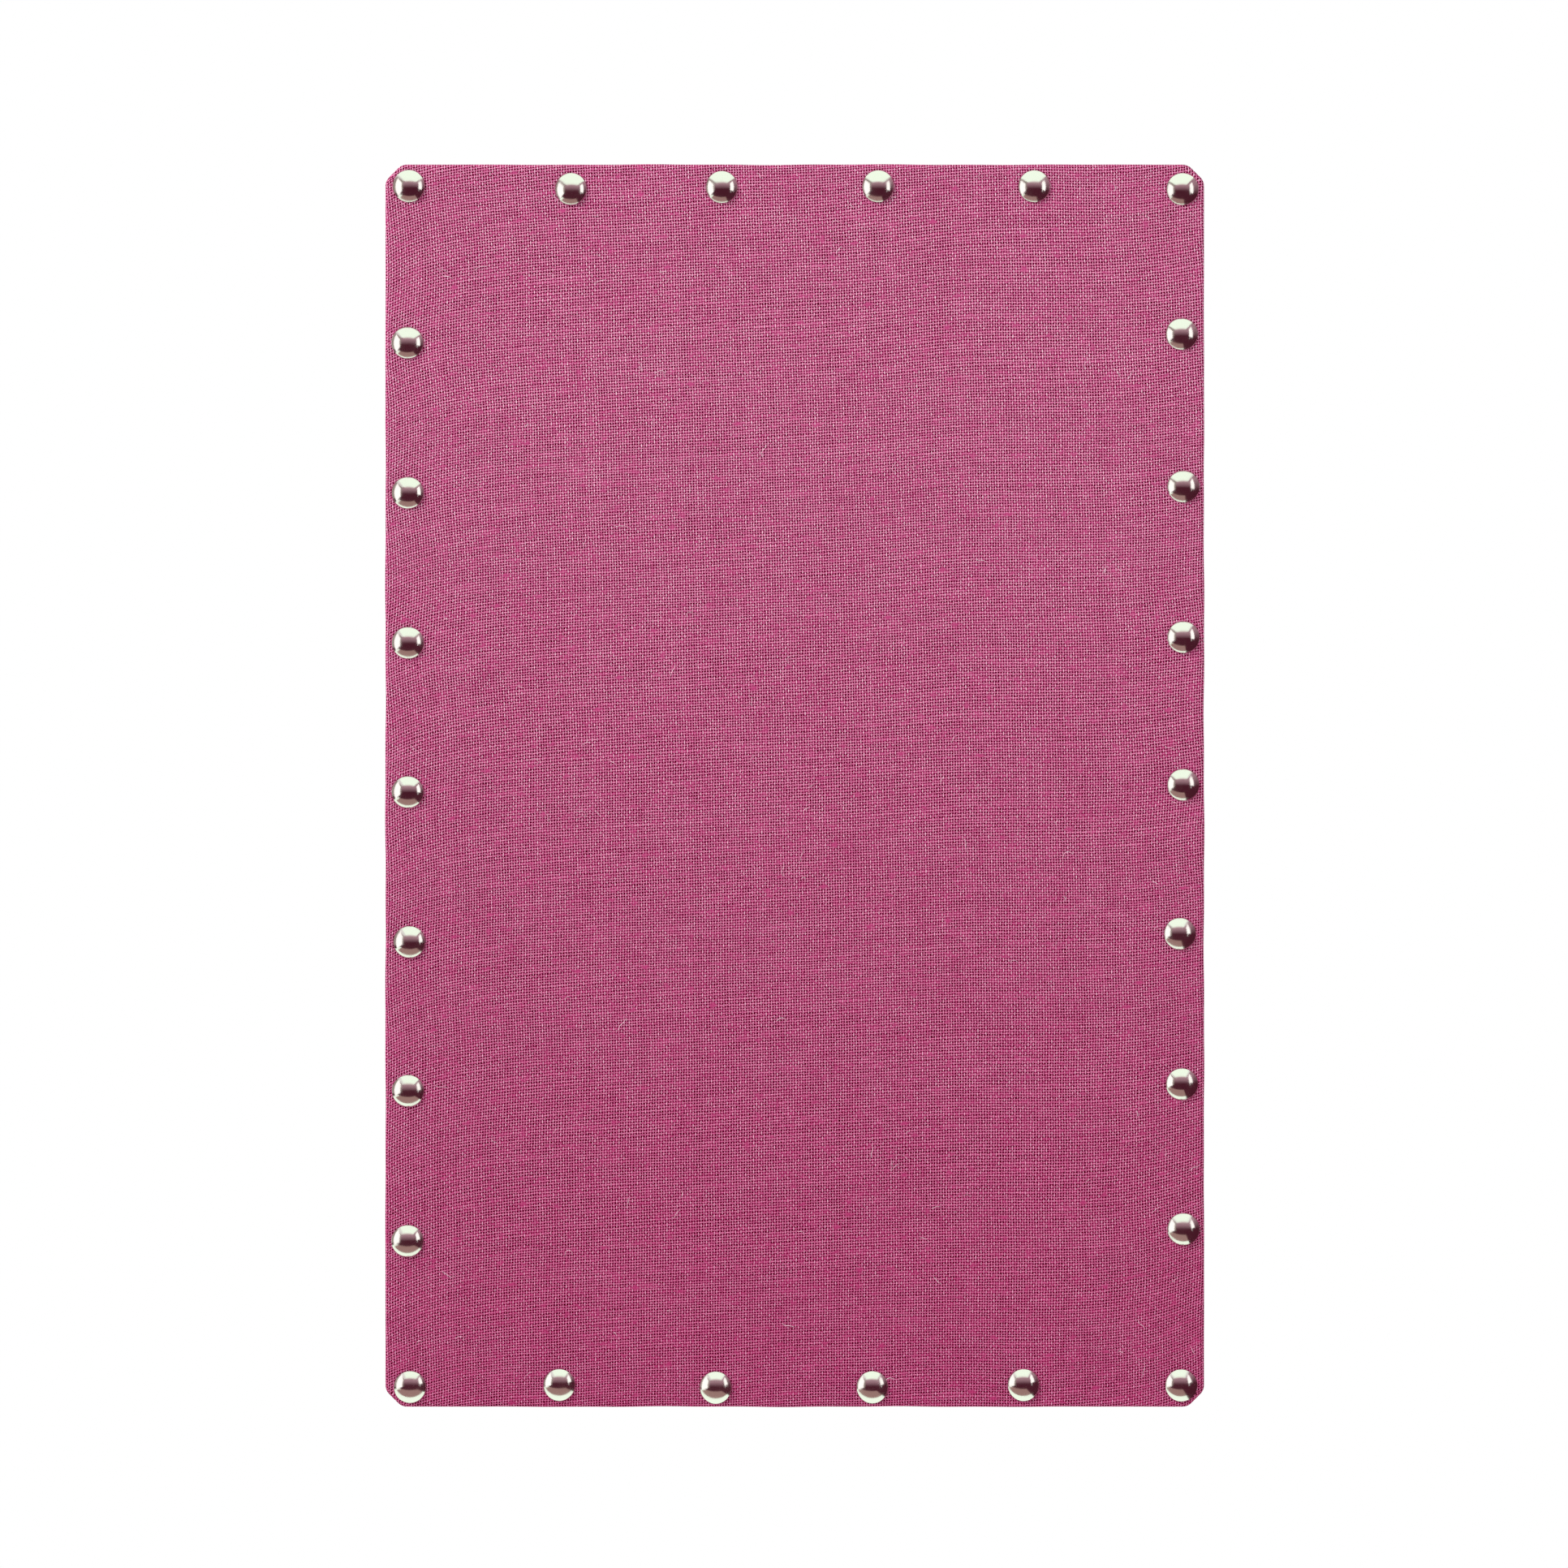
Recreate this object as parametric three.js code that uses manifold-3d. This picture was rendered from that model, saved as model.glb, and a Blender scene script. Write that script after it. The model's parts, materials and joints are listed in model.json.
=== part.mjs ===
// Cork pin board: a fibreboard panel and a cork sheet wrapped in burlap, edged with domed nailhead
// studs, with the hem stapled behind and two strap hangers whose D-rings swing.
//
// The board is drawn lying on its back, in millimetres: x to the right, y up the board and z from
// the wall towards the front. The last lines stand it up, so that z is up and the front faces -y.

import * as THREE from "three";
import { mergeVertices } from "three/addons/utils/BufferGeometryUtils.js";
import Module from "manifold-3d";

// Board, measured over the cloth
const BOARD_WIDTH = 402;
const BOARD_HEIGHT = 610;
const CORNER_CUT = 8; // along each edge, at 45 degrees
const CORNER_EASE = 2.5; // how far either end of the cut is softened
const EDGE_ROUND = 1.4; // of the cloth along the front and back edges

// Layers
const PANEL_THICKNESS = 9;
const CORK_THICKNESS = 6;
const CLOTH_THICKNESS = 1;
const GLUE_LINE = 0.3;
const HEM_WIDTH = 32;

// Clearances
const FIT = 0.3; // between a piece and what it is nailed, screwed or glued to
const RING_PLAY = 0.35; // between a ring's bar and the eye round it

// Nailhead studs
const STUD_INSET = 11; // from the board's edge to a stud's centre
const STUD_DIAMETER = 16;
const STUD_RISE = 3.8;
const STUD_WALL = 0.8;
const SHANK_DIAMETER = 2.2;
const SHANK_POINT = 3;
const WOOD_BEHIND_POINT = 3.5;

// The studs of each row and column, one pair each, from the left along the top and the bottom and
// from the top between the corner studs down the sides: how far right of and above its even place
// the stud was hammered in
const TOP_STUDS = [[0.5, 0.2], [4, -1], [2.2, -0.2], [2.9, 0.2], [3.6, 0.2], [0.3, -1.2]];
const BOTTOM_STUDS = [[1.2, -1.2], [-1.6, -0.2], [-0.9, -1.4], [0.1, -1.2], [-1.6, -0.2], [-0.3, -0.3]];
const LEFT_STUDS = [[0, -3], [0, -3.2], [0.2, -3.4], [0, -3.2], [0.8, -3.2], [0.2, -2.8], [0, -3]];
const RIGHT_STUDS = [[0, 1.2], [0.7, -0.2], [0.7, -0.6], [0.7, 0.4], [-0.9, 0.8], [0, 0.4], [0.7, 2.8]];

// Staples through the hem
const STAPLES_ACROSS = 4;
const STAPLES_DOWN = 7;
const STAPLE_INSET = 22; // from the board's edge to a staple's crown
const STAPLE_END = 45; // from the board's corner to the first staple in a row
const STAPLE_CROWN = 11;
const STAPLE_WIRE = 0.6; // seen edge on
const STAPLE_FLAT = 1.2; // across the flat of the wire
const STAPLE_BITE = 4.5; // into the panel

// Strap hangers
const HANGER_INSET = 70; // from the board's side edge
const HANGER_DROP = 75; // from the board's top edge down to the eye
const STRAP_WIDTH = 12;
const STRAP_THICKNESS = 1;
const STRAP_FOLD_GAP = 0.3; // between the two layers of the folded strap
const STRAP_TAIL = 6; // beyond the folded-down ring
const SCREW_SETBACK = 11; // from the eye to the screw
const SCREW_DIAMETER = 3.4;
const SCREW_HEAD_DIAMETER = 7;
const SCREW_HEAD_HEIGHT = 2;
const SCREW_HEAD_SIDE = 0.8; // the upright part of the head's height
const SCREW_HEAD_FLAT = 4.6; // across the flat top of the head
const SCREW_BITE = 6.5; // into the panel
const SCREW_POINT = 2.5;
const RECESS_LENGTH = 4.2;
const RECESS_WIDTH = 1.1;
const RECESS_DEPTH = 1.2;

// D-rings
const RING_WIRE = 2.6;
const RING_SIDE_PLAY = 1.3; // between a leg of the ring and the strap's edge
const RING_HEAD_PLAY = 1.2; // between the folded-down ring and the screw head
const RING_BUTT = 0.5; // between the ends of the wire, which meet inside the eye

// Wall bumpers
const BUMPER_DIAMETER = 12;
const BUMPER_TOP_DIAMETER = 10;
const BUMPER_HEIGHT = 6;
const BUMPER_INSET = 21; // from each edge of the board to the bumper's centre

// Facets
const STUD_SIDES = 16;
const DOME_STEPS = 4;
const HOLE_SIDES = 8;
const ROUND_SIDES = 20;
const RING_STEPS = 40;
const RING_SIDES = 10;
const EYE_STEPS = 7;
const CORNER_STEPS = 2;
const EDGE_STEPS = 3;

// Levels above the wall
const HEM_BACK = BUMPER_HEIGHT + FIT;
const PANEL_BACK = HEM_BACK + CLOTH_THICKNESS + GLUE_LINE;
const PANEL_FRONT = PANEL_BACK + PANEL_THICKNESS;
const CORK_BACK = PANEL_FRONT + GLUE_LINE;
const CORK_FRONT = CORK_BACK + CORK_THICKNESS;
const CLOTH_FRONT = CORK_FRONT + GLUE_LINE + CLOTH_THICKNESS;

// Fits that follow from the sizes above
const STUD_SEAT = CLOTH_FRONT + FIT;
const SHANK_END = PANEL_BACK + WOOD_BEHIND_POINT;
const SHANK_HOLE = SHANK_DIAMETER / 2 + FIT;
const STAPLE_SEAT = HEM_BACK - FIT;
const STAPLE_END_LEVEL = PANEL_BACK + STAPLE_BITE;
const SCREW_HOLE = SCREW_DIAMETER / 2 + FIT;
const WIRE_RADIUS = RING_WIRE / 2;
const EYE_INNER = WIRE_RADIUS + RING_PLAY;
const EYE_OUTER = EYE_INNER + STRAP_THICKNESS;
const EYE_HEIGHT = FIT + EYE_OUTER; // above the panel's back
const STRAP_TOP = FIT + 2 * STRAP_THICKNESS + STRAP_FOLD_GAP; // above the panel's back
const LEG_X = STRAP_WIDTH / 2 + RING_SIDE_PLAY + WIRE_RADIUS;
const RING_CORNER = LEG_X - STRAP_WIDTH / 2;
const RING_REACH = SCREW_SETBACK + SCREW_HEAD_DIAMETER / 2 + RING_HEAD_PLAY + WIRE_RADIUS;
const RING_LEAN = Math.asin((EYE_HEIGHT - WIRE_RADIUS - FIT) / RING_REACH);
const STRAP_LENGTH = RING_REACH + WIRE_RADIUS + STRAP_TAIL;

const wasm = await Module();
wasm.setup();

function material(color, roughness, metalness) {
  return new THREE.MeshStandardMaterial({ color, roughness, metalness });
}

const BURLAP = () => material("#b0587b", 0.95, 0);
const CORK = () => material("#b98d5f", 0.9, 0);
const FIBREBOARD = () => material("#a68561", 0.8, 0);
const NICKEL = () => material("#c8c2be", 0.15, 1);
const ZINC = () => material("#b4b7ba", 0.35, 1);
const RUBBER = () => material("#2c2c2e", 0.85, 0);

function solidOf(geometry) {
  const bare = geometry.clone();
  bare.deleteAttribute("normal");
  bare.deleteAttribute("uv");
  const merged = mergeVertices(bare);
  const corners = Array.from(merged.index.array);
  const triVerts = [];
  for (let i = 0; i < corners.length; i += 3) {
    const [a, b, c] = corners.slice(i, i + 3);
    if (a !== b && b !== c && c !== a) {
      triVerts.push(a, b, c);
    }
  }
  const vertProperties = new Float32Array(merged.attributes.position.array);
  const mesh = new wasm.Mesh({ numProp: 3, vertProperties, triVerts: new Uint32Array(triVerts) });
  return new wasm.Manifold(mesh);
}

function geometryOf(solid) {
  const mesh = solid.getMesh();
  const geometry = new THREE.BufferGeometry();
  geometry.setAttribute("position", new THREE.BufferAttribute(mesh.vertProperties, 3));
  geometry.setIndex(new THREE.BufferAttribute(mesh.triVerts, 1));
  geometry.computeVertexNormals();
  return geometry;
}

function cut(solid, cutters) {
  return cutters.reduce((body, cutter) => body.subtract(cutter), solid);
}

function box(x0, x1, y0, y1, z0, z1) {
  const geometry = new THREE.BoxGeometry(x1 - x0, y1 - y0, z1 - z0);
  geometry.translate((x0 + x1) / 2, (y0 + y1) / 2, (z0 + z1) / 2);
  return solidOf(geometry);
}

// A round hole along z whose flats touch the stated radius.
function hole(x, y, radius, z0, z1) {
  const outer = radius / Math.cos(Math.PI / HOLE_SIDES);
  const geometry = new THREE.CylinderGeometry(outer, outer, z1 - z0, HOLE_SIDES);
  geometry.rotateX(Math.PI / 2);
  geometry.translate(x, y, (z0 + z1) / 2);
  return solidOf(geometry);
}

// The board's outline, drawn in by a distance all round, with clipped and softened corners.
function outline(inset) {
  const x = BOARD_WIDTH / 2 - inset;
  const y = BOARD_HEIGHT / 2 - inset;
  const leg = CORNER_CUT - (2 - Math.SQRT2) * inset;
  const ease = CORNER_EASE;
  const slant = ease * Math.SQRT1_2;
  const shape = new THREE.Shape();
  shape.moveTo(-x + leg + ease, -y);
  shape.lineTo(x - leg - ease, -y);
  shape.quadraticCurveTo(x - leg, -y, x - leg + slant, -y + slant);
  shape.lineTo(x - slant, -y + leg - slant);
  shape.quadraticCurveTo(x, -y + leg, x, -y + leg + ease);
  shape.lineTo(x, y - leg - ease);
  shape.quadraticCurveTo(x, y - leg, x - slant, y - leg + slant);
  shape.lineTo(x - leg + slant, y - slant);
  shape.quadraticCurveTo(x - leg, y, x - leg - ease, y);
  shape.lineTo(-x + leg + ease, y);
  shape.quadraticCurveTo(-x + leg, y, -x + leg - slant, y - slant);
  shape.lineTo(-x + slant, y - leg + slant);
  shape.quadraticCurveTo(-x, y - leg, -x, y - leg - ease);
  shape.lineTo(-x, -y + leg + ease);
  shape.quadraticCurveTo(-x, -y + leg, -x + slant, -y + leg - slant);
  shape.lineTo(-x + leg - slant, -y + slant);
  shape.quadraticCurveTo(-x + leg, -y, -x + leg + ease, -y);
  return shape;
}

function slab(inset, z0, z1) {
  const geometry = new THREE.ExtrudeGeometry(outline(inset), {
    depth: z1 - z0,
    bevelEnabled: false,
    curveSegments: CORNER_STEPS,
  });
  geometry.translate(0, 0, z0);
  return solidOf(geometry);
}

function roundedSlab(z0, z1, round) {
  const geometry = new THREE.ExtrudeGeometry(outline(0), {
    depth: z1 - z0 - 2 * round,
    bevelThickness: round,
    bevelSize: round,
    bevelOffset: -round,
    bevelSegments: EDGE_STEPS,
    curveSegments: CORNER_STEPS,
  });
  geometry.translate(0, 0, z0 + round);
  return solidOf(geometry);
}

// Stud centres: two full rows, and two columns between the corner studs.
function studPlaces() {
  const x = BOARD_WIDTH / 2 - STUD_INSET;
  const y = BOARD_HEIGHT / 2 - STUD_INSET;
  const row = (name, studs, level) =>
    studs.map(([right, up], i) => ({
      name: `stud_${name}_${i + 1}`,
      x: -x + (2 * x * i) / (studs.length - 1) + right,
      y: level + up,
    }));
  const column = (name, studs, level) =>
    studs.map(([right, up], i) => ({
      name: `stud_${name}_${i + 1}`,
      x: level + right,
      y: y - (2 * y * (i + 1)) / (studs.length + 1) + up,
    }));
  return [
    ...row("top", TOP_STUDS, y),
    ...row("bottom", BOTTOM_STUDS, -y),
    ...column("left", LEFT_STUDS, -x),
    ...column("right", RIGHT_STUDS, x),
  ];
}

// Staple centres round the hem, with the way each crown runs.
function staplePlaces() {
  const x = BOARD_WIDTH / 2 - STAPLE_INSET;
  const y = BOARD_HEIGHT / 2 - STAPLE_INSET;
  const spread = (half, i, count) => -half + (2 * half * i) / (count - 1);
  const places = [];
  for (let i = 0; i < STAPLES_ACROSS; i += 1) {
    const along = spread(BOARD_WIDTH / 2 - STAPLE_END, i, STAPLES_ACROSS);
    places.push({ name: `staple_top_${i + 1}`, x: along, y, upright: false });
    places.push({ name: `staple_bottom_${i + 1}`, x: along, y: -y, upright: false });
  }
  for (let i = 0; i < STAPLES_DOWN; i += 1) {
    const along = -spread(BOARD_HEIGHT / 2 - STAPLE_END, i, STAPLES_DOWN);
    places.push({ name: `staple_left_${i + 1}`, x: -x, y: along, upright: true });
    places.push({ name: `staple_right_${i + 1}`, x, y: along, upright: true });
  }
  return places;
}

function hangerPlaces() {
  const x = BOARD_WIDTH / 2 - HANGER_INSET;
  const y = BOARD_HEIGHT / 2 - HANGER_DROP;
  return [
    { side: "left", x: -x, y },
    { side: "right", x, y },
  ];
}

// The two slots that one staple's legs need.
function stapleSlots(place) {
  const reach = STAPLE_CROWN / 2 - STAPLE_WIRE / 2;
  const along = STAPLE_WIRE / 2 + FIT;
  const across = STAPLE_FLAT / 2 + FIT;
  const z0 = STAPLE_SEAT;
  const z1 = STAPLE_END_LEVEL + FIT;
  return [-reach, reach].map((offset) => {
    const x = place.x + (place.upright ? 0 : offset);
    const y = place.y + (place.upright ? offset : 0);
    const halfX = place.upright ? across : along;
    const halfY = place.upright ? along : across;
    return box(x - halfX, x + halfX, y - halfY, y + halfY, z0, z1);
  });
}

function backingPanel() {
  const cutters = [
    ...studPlaces().map((p) => hole(p.x, p.y, SHANK_HOLE, SHANK_END - FIT, PANEL_FRONT + FIT)),
    ...staplePlaces().flatMap(stapleSlots),
    ...hangerPlaces().map((p) =>
      hole(p.x, p.y - SCREW_SETBACK, SCREW_HOLE, PANEL_BACK - FIT, PANEL_BACK + SCREW_BITE + FIT),
    ),
  ];
  return geometryOf(cut(slab(CLOTH_THICKNESS + GLUE_LINE, PANEL_BACK, PANEL_FRONT), cutters));
}

function corkSheet() {
  const cutters = studPlaces().map((p) =>
    hole(p.x, p.y, SHANK_HOLE, CORK_BACK - FIT, CORK_FRONT + FIT),
  );
  return geometryOf(cut(slab(CLOTH_THICKNESS + GLUE_LINE, CORK_BACK, CORK_FRONT), cutters));
}

// The cloth goes over the front, round the edges and back as a hem round an open window.
function burlapCover() {
  const inside0 = HEM_BACK + CLOTH_THICKNESS;
  const inside1 = CLOTH_FRONT - CLOTH_THICKNESS;
  const windowX = BOARD_WIDTH / 2 - HEM_WIDTH;
  const windowY = BOARD_HEIGHT / 2 - HEM_WIDTH;
  const cutters = [
    slab(CLOTH_THICKNESS, inside0, inside1),
    box(-windowX, windowX, -windowY, windowY, HEM_BACK - FIT, inside0 + FIT),
    ...studPlaces().map((p) => hole(p.x, p.y, SHANK_HOLE, inside1 - FIT, CLOTH_FRONT + FIT)),
    ...staplePlaces().flatMap(stapleSlots),
  ];
  return geometryOf(cut(roundedSlab(HEM_BACK, CLOTH_FRONT, EDGE_ROUND), cutters));
}

// A hollow dome on a pointed shank, turned about its own axis.
function studGeometry() {
  const rim = STUD_DIAMETER / 2;
  const shank = SHANK_DIAMETER / 2;
  const outer = (rim * rim + STUD_RISE * STUD_RISE) / (2 * STUD_RISE);
  const inner = outer - STUD_WALL;
  const centre = STUD_RISE - outer;
  const innerRim = Math.sqrt(inner * inner - centre * centre);
  const underside = Math.sqrt(inner * inner - shank * shank) + centre;
  const end = SHANK_END - STUD_SEAT;
  const points = [
    new THREE.Vector2(0, end),
    new THREE.Vector2(shank, end + SHANK_POINT),
    new THREE.Vector2(shank, underside),
    new THREE.Vector2(innerRim, 0),
  ];
  const rimAngle = Math.asin(rim / outer);
  for (let i = 0; i < DOME_STEPS; i += 1) {
    const angle = rimAngle * (1 - i / DOME_STEPS);
    points.push(new THREE.Vector2(outer * Math.sin(angle), outer * Math.cos(angle) + centre));
  }
  points.push(new THREE.Vector2(0, STUD_RISE));
  const geometry = new THREE.LatheGeometry(points, STUD_SIDES);
  geometry.rotateX(Math.PI / 2);
  return geometry;
}

// A staple in its own plane: the crown along x, the legs along y into the board.
function stapleGeometry(upright) {
  const half = STAPLE_CROWN / 2;
  const leg = STAPLE_END_LEVEL - STAPLE_SEAT;
  const shape = new THREE.Shape();
  shape.moveTo(-half, -STAPLE_WIRE);
  shape.lineTo(half, -STAPLE_WIRE);
  shape.lineTo(half, leg);
  shape.lineTo(half - STAPLE_WIRE, leg - STAPLE_WIRE);
  shape.lineTo(half - STAPLE_WIRE, 0);
  shape.lineTo(-half + STAPLE_WIRE, 0);
  shape.lineTo(-half + STAPLE_WIRE, leg - STAPLE_WIRE);
  shape.lineTo(-half, leg);
  shape.closePath();
  const geometry = new THREE.ExtrudeGeometry(shape, { depth: STAPLE_FLAT, bevelEnabled: false });
  geometry.translate(0, 0, -STAPLE_FLAT / 2);
  geometry.rotateX(Math.PI / 2);
  if (upright) {
    geometry.rotateZ(Math.PI / 2);
  }
  return geometry;
}

// A strip folded back on itself round the ring's bar: the profile is drawn along the strap and up
// from the panel, and the origin is below the eye.
function strapGeometry() {
  const upperBottom = STRAP_TOP - STRAP_THICKNESS;
  const outerEnd = Math.PI - Math.asin((STRAP_TOP - EYE_HEIGHT) / EYE_OUTER);
  const innerEnd = Math.PI - Math.asin((upperBottom - EYE_HEIGHT) / EYE_INNER);
  const profile = new THREE.Shape();
  profile.moveTo(-STRAP_LENGTH, FIT);
  profile.lineTo(0, FIT);
  profile.absarc(0, EYE_HEIGHT, EYE_OUTER, -Math.PI / 2, outerEnd, false);
  profile.lineTo(-STRAP_LENGTH, STRAP_TOP);
  profile.lineTo(-STRAP_LENGTH, upperBottom);
  profile.absarc(0, EYE_HEIGHT, EYE_INNER, innerEnd, -Math.PI / 2, true);
  profile.lineTo(-STRAP_LENGTH, FIT + STRAP_THICKNESS);
  profile.closePath();
  const folded = new THREE.ExtrudeGeometry(profile, {
    depth: STRAP_WIDTH,
    bevelEnabled: false,
    curveSegments: EYE_STEPS,
  });
  const along = new THREE.Vector3(0, 1, 0);
  const outward = new THREE.Vector3(0, 0, -1);
  const across = new THREE.Vector3(-1, 0, 0);
  folded.applyMatrix4(new THREE.Matrix4().makeBasis(along, outward, across));
  folded.translate(STRAP_WIDTH / 2, 0, 0);

  const half = STRAP_WIDTH / 2;
  const plan = new THREE.Shape();
  plan.moveTo(half + FIT, EYE_OUTER + FIT);
  plan.lineTo(-half - FIT, EYE_OUTER + FIT);
  plan.lineTo(-half - FIT, -STRAP_LENGTH + half);
  plan.absarc(0, -STRAP_LENGTH + half, half, Math.PI, 2 * Math.PI, false);
  plan.lineTo(half + FIT, -STRAP_LENGTH + half);
  plan.closePath();
  const tall = EYE_HEIGHT + EYE_OUTER + FIT;
  const trimmed = new THREE.ExtrudeGeometry(plan, {
    depth: tall,
    bevelEnabled: false,
    curveSegments: EYE_STEPS,
  });
  trimmed.translate(0, 0, -tall);

  const screwHole = hole(0, -SCREW_SETBACK, SCREW_HOLE, -tall, FIT);
  return geometryOf(solidOf(folded).intersect(solidOf(trimmed)).subtract(screwHole));
}

// A pan-head screw pointing along z, its head's seat at the origin, with a crossed recess.
function screwGeometry() {
  const shank = SCREW_DIAMETER / 2;
  const head = SCREW_HEAD_DIAMETER / 2;
  const length = STRAP_TOP + FIT + SCREW_BITE;
  const points = [
    new THREE.Vector2(0, -length),
    new THREE.Vector2(shank, -length + SCREW_POINT),
    new THREE.Vector2(shank, 0),
    new THREE.Vector2(head, 0),
    new THREE.Vector2(head, SCREW_HEAD_SIDE),
    new THREE.Vector2(SCREW_HEAD_FLAT / 2, SCREW_HEAD_HEIGHT),
    new THREE.Vector2(0, SCREW_HEAD_HEIGHT),
  ];
  const turned = new THREE.LatheGeometry(points, ROUND_SIDES);
  turned.rotateX(-Math.PI / 2);
  const long = RECESS_LENGTH / 2;
  const wide = RECESS_WIDTH / 2;
  const floor = -SCREW_HEAD_HEIGHT + RECESS_DEPTH;
  const above = -SCREW_HEAD_HEIGHT - FIT;
  const recess = [
    box(-long, long, -wide, wide, above, floor),
    box(-wide, wide, -long, long, above, floor),
  ];
  return geometryOf(cut(solidOf(turned), recess));
}

// The centre line of a D-ring bent from wire: a bar on the x axis whose two ends meet inside the
// eye, two legs and a round bow above.
class RingLine extends THREE.Curve {
  constructor() {
    super();
    const bar = STRAP_WIDTH / 2;
    const bow = RING_REACH - LEG_X;
    this.path = new THREE.Path();
    this.path.moveTo(RING_BUTT / 2, 0);
    this.path.lineTo(bar, 0);
    this.path.absarc(bar, RING_CORNER, RING_CORNER, -Math.PI / 2, 0, false);
    this.path.lineTo(LEG_X, bow);
    this.path.absarc(0, bow, LEG_X, 0, Math.PI, false);
    this.path.lineTo(-LEG_X, RING_CORNER);
    this.path.absarc(-bar, RING_CORNER, RING_CORNER, Math.PI, 1.5 * Math.PI, false);
    this.path.lineTo(-RING_BUTT / 2, 0);
  }

  getPoint(t, target = new THREE.Vector3()) {
    const point = this.path.getPoint(t);
    return target.set(point.x, point.y, 0);
  }
}

function ringGeometry() {
  const wire = new THREE.Shape();
  wire.absarc(0, 0, WIRE_RADIUS, 0, 2 * Math.PI, false);
  return new THREE.ExtrudeGeometry(wire, {
    steps: RING_STEPS,
    curveSegments: RING_SIDES / 2,
    extrudePath: new RingLine(),
  });
}

function bumperGeometry() {
  const geometry = new THREE.CylinderGeometry(
    BUMPER_DIAMETER / 2,
    BUMPER_TOP_DIAMETER / 2,
    BUMPER_HEIGHT,
    ROUND_SIDES,
  );
  geometry.rotateX(Math.PI / 2);
  geometry.translate(0, 0, BUMPER_HEIGHT / 2);
  return geometry;
}

const board = new THREE.Group();
board.name = "cork_board";

function add(name, geometry, finish, x, y, z) {
  const mesh = new THREE.Mesh(geometry, finish);
  mesh.name = name;
  mesh.position.set(x, y, z);
  board.add(mesh);
  return mesh;
}

add("backing_panel", backingPanel(), FIBREBOARD(), 0, 0, 0);
add("cork_sheet", corkSheet(), CORK(), 0, 0, 0);
add("burlap_cover", burlapCover(), BURLAP(), 0, 0, 0);

for (const { name, x, y } of studPlaces()) {
  add(name, studGeometry(), NICKEL(), x, y, STUD_SEAT);
}

for (const { name, x, y, upright } of staplePlaces()) {
  add(name, stapleGeometry(upright), ZINC(), x, y, STAPLE_SEAT);
}

for (const { side, x, y } of hangerPlaces()) {
  add(`hanger_strap_${side}`, strapGeometry(), ZINC(), x, y, PANEL_BACK);
  const screwSeat = PANEL_BACK - STRAP_TOP - FIT;
  add(`hanger_screw_${side}`, screwGeometry(), ZINC(), x, y - SCREW_SETBACK, screwSeat);
  const ring = add(`hanger_ring_${side}`, ringGeometry(), ZINC(), x, y, PANEL_BACK - EYE_HEIGHT);
  ring.rotation.x = RING_LEAN;
}

for (const [side, sign] of [["left", -1], ["right", 1]]) {
  const x = sign * (BOARD_WIDTH / 2 - BUMPER_INSET);
  const y = -BOARD_HEIGHT / 2 + BUMPER_INSET;
  add(`bumper_${side}`, bumperGeometry(), RUBBER(), x, y, 0);
}

const root = new THREE.Group();
root.name = "cork_board_upright";
board.rotation.x = Math.PI / 2;
root.add(board);

export default root;
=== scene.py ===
import json
import math
from functools import partial, wraps
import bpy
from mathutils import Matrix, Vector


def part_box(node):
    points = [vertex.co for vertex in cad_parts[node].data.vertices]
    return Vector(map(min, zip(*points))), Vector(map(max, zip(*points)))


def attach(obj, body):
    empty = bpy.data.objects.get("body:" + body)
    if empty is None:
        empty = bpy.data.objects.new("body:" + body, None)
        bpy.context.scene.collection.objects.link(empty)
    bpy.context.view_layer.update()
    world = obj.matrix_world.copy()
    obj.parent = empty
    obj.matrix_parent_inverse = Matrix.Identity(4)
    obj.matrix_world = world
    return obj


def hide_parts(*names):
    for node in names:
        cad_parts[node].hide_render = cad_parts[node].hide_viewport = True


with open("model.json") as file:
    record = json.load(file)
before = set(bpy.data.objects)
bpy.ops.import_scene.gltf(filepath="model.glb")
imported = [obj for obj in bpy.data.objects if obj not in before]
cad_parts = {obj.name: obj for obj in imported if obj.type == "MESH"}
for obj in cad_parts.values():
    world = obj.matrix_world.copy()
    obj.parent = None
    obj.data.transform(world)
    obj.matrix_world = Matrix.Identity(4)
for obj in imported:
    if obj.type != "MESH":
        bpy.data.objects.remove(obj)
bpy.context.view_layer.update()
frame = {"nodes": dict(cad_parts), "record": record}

from types import SimpleNamespace

import bmesh
import bpy
import numpy as np
from bpy.props import FloatProperty, FloatVectorProperty, IntProperty, PointerProperty
from bpy.types import Operator, Panel, PropertyGroup
from mathutils import Vector

bl_info = {
    "name": "Burlap Cork Board",
    "version": (1, 0, 0),
    "blender": (4, 5, 0),
    "location": "3D View > Sidebar > Cork Board",
    "description": "Dresses the packed cork board: woven cover, nailhead studs, back and stage",
    "category": "Object",
}

MM = 0.001
WHITE = (1, 1, 1, 1)
STUDS, STAPLES = (
    sorted(name for name in frame["nodes"] if name.startswith(kind))
    for kind in ("stud_", "staple_")
)
SIDES = ("left", "right")
HEM_ROWS = 9

# The two yarns. Widths, shifts and swells are shares of the thread spacing, and a run is a
# pattern's change from one crossed thread to the next.
WARP_YARN = SimpleNamespace(
    seed=5.0, half_width=0.215, over=1.0, slub_run=0.2, slub_swell=0.12,
    knot_run=0.8, knot_shift=0.2, knot_swell=0.1,
    wander_start=3.0, wander_beside=0.3, wander_run=0.04, wander=0.3,
)
WEFT_YARN = SimpleNamespace(
    seed=131.0, half_width=0.225, over=-1.0, slub_run=0.11, slub_swell=0.3,
    knot_run=0.6, knot_shift=0.2, knot_swell=0.1,
    wander_start=41.0, wander_beside=0.45, wander_run=0.022, wander=0.45,
)
# Tones at which a thread shows painted shade in its gaps and on its diving side, its dyed body,
# and a painted highlight on its top.
SHADE_AND_DYE_TONES = (0.03, 0.3, 0.62, 0.96)


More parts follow.
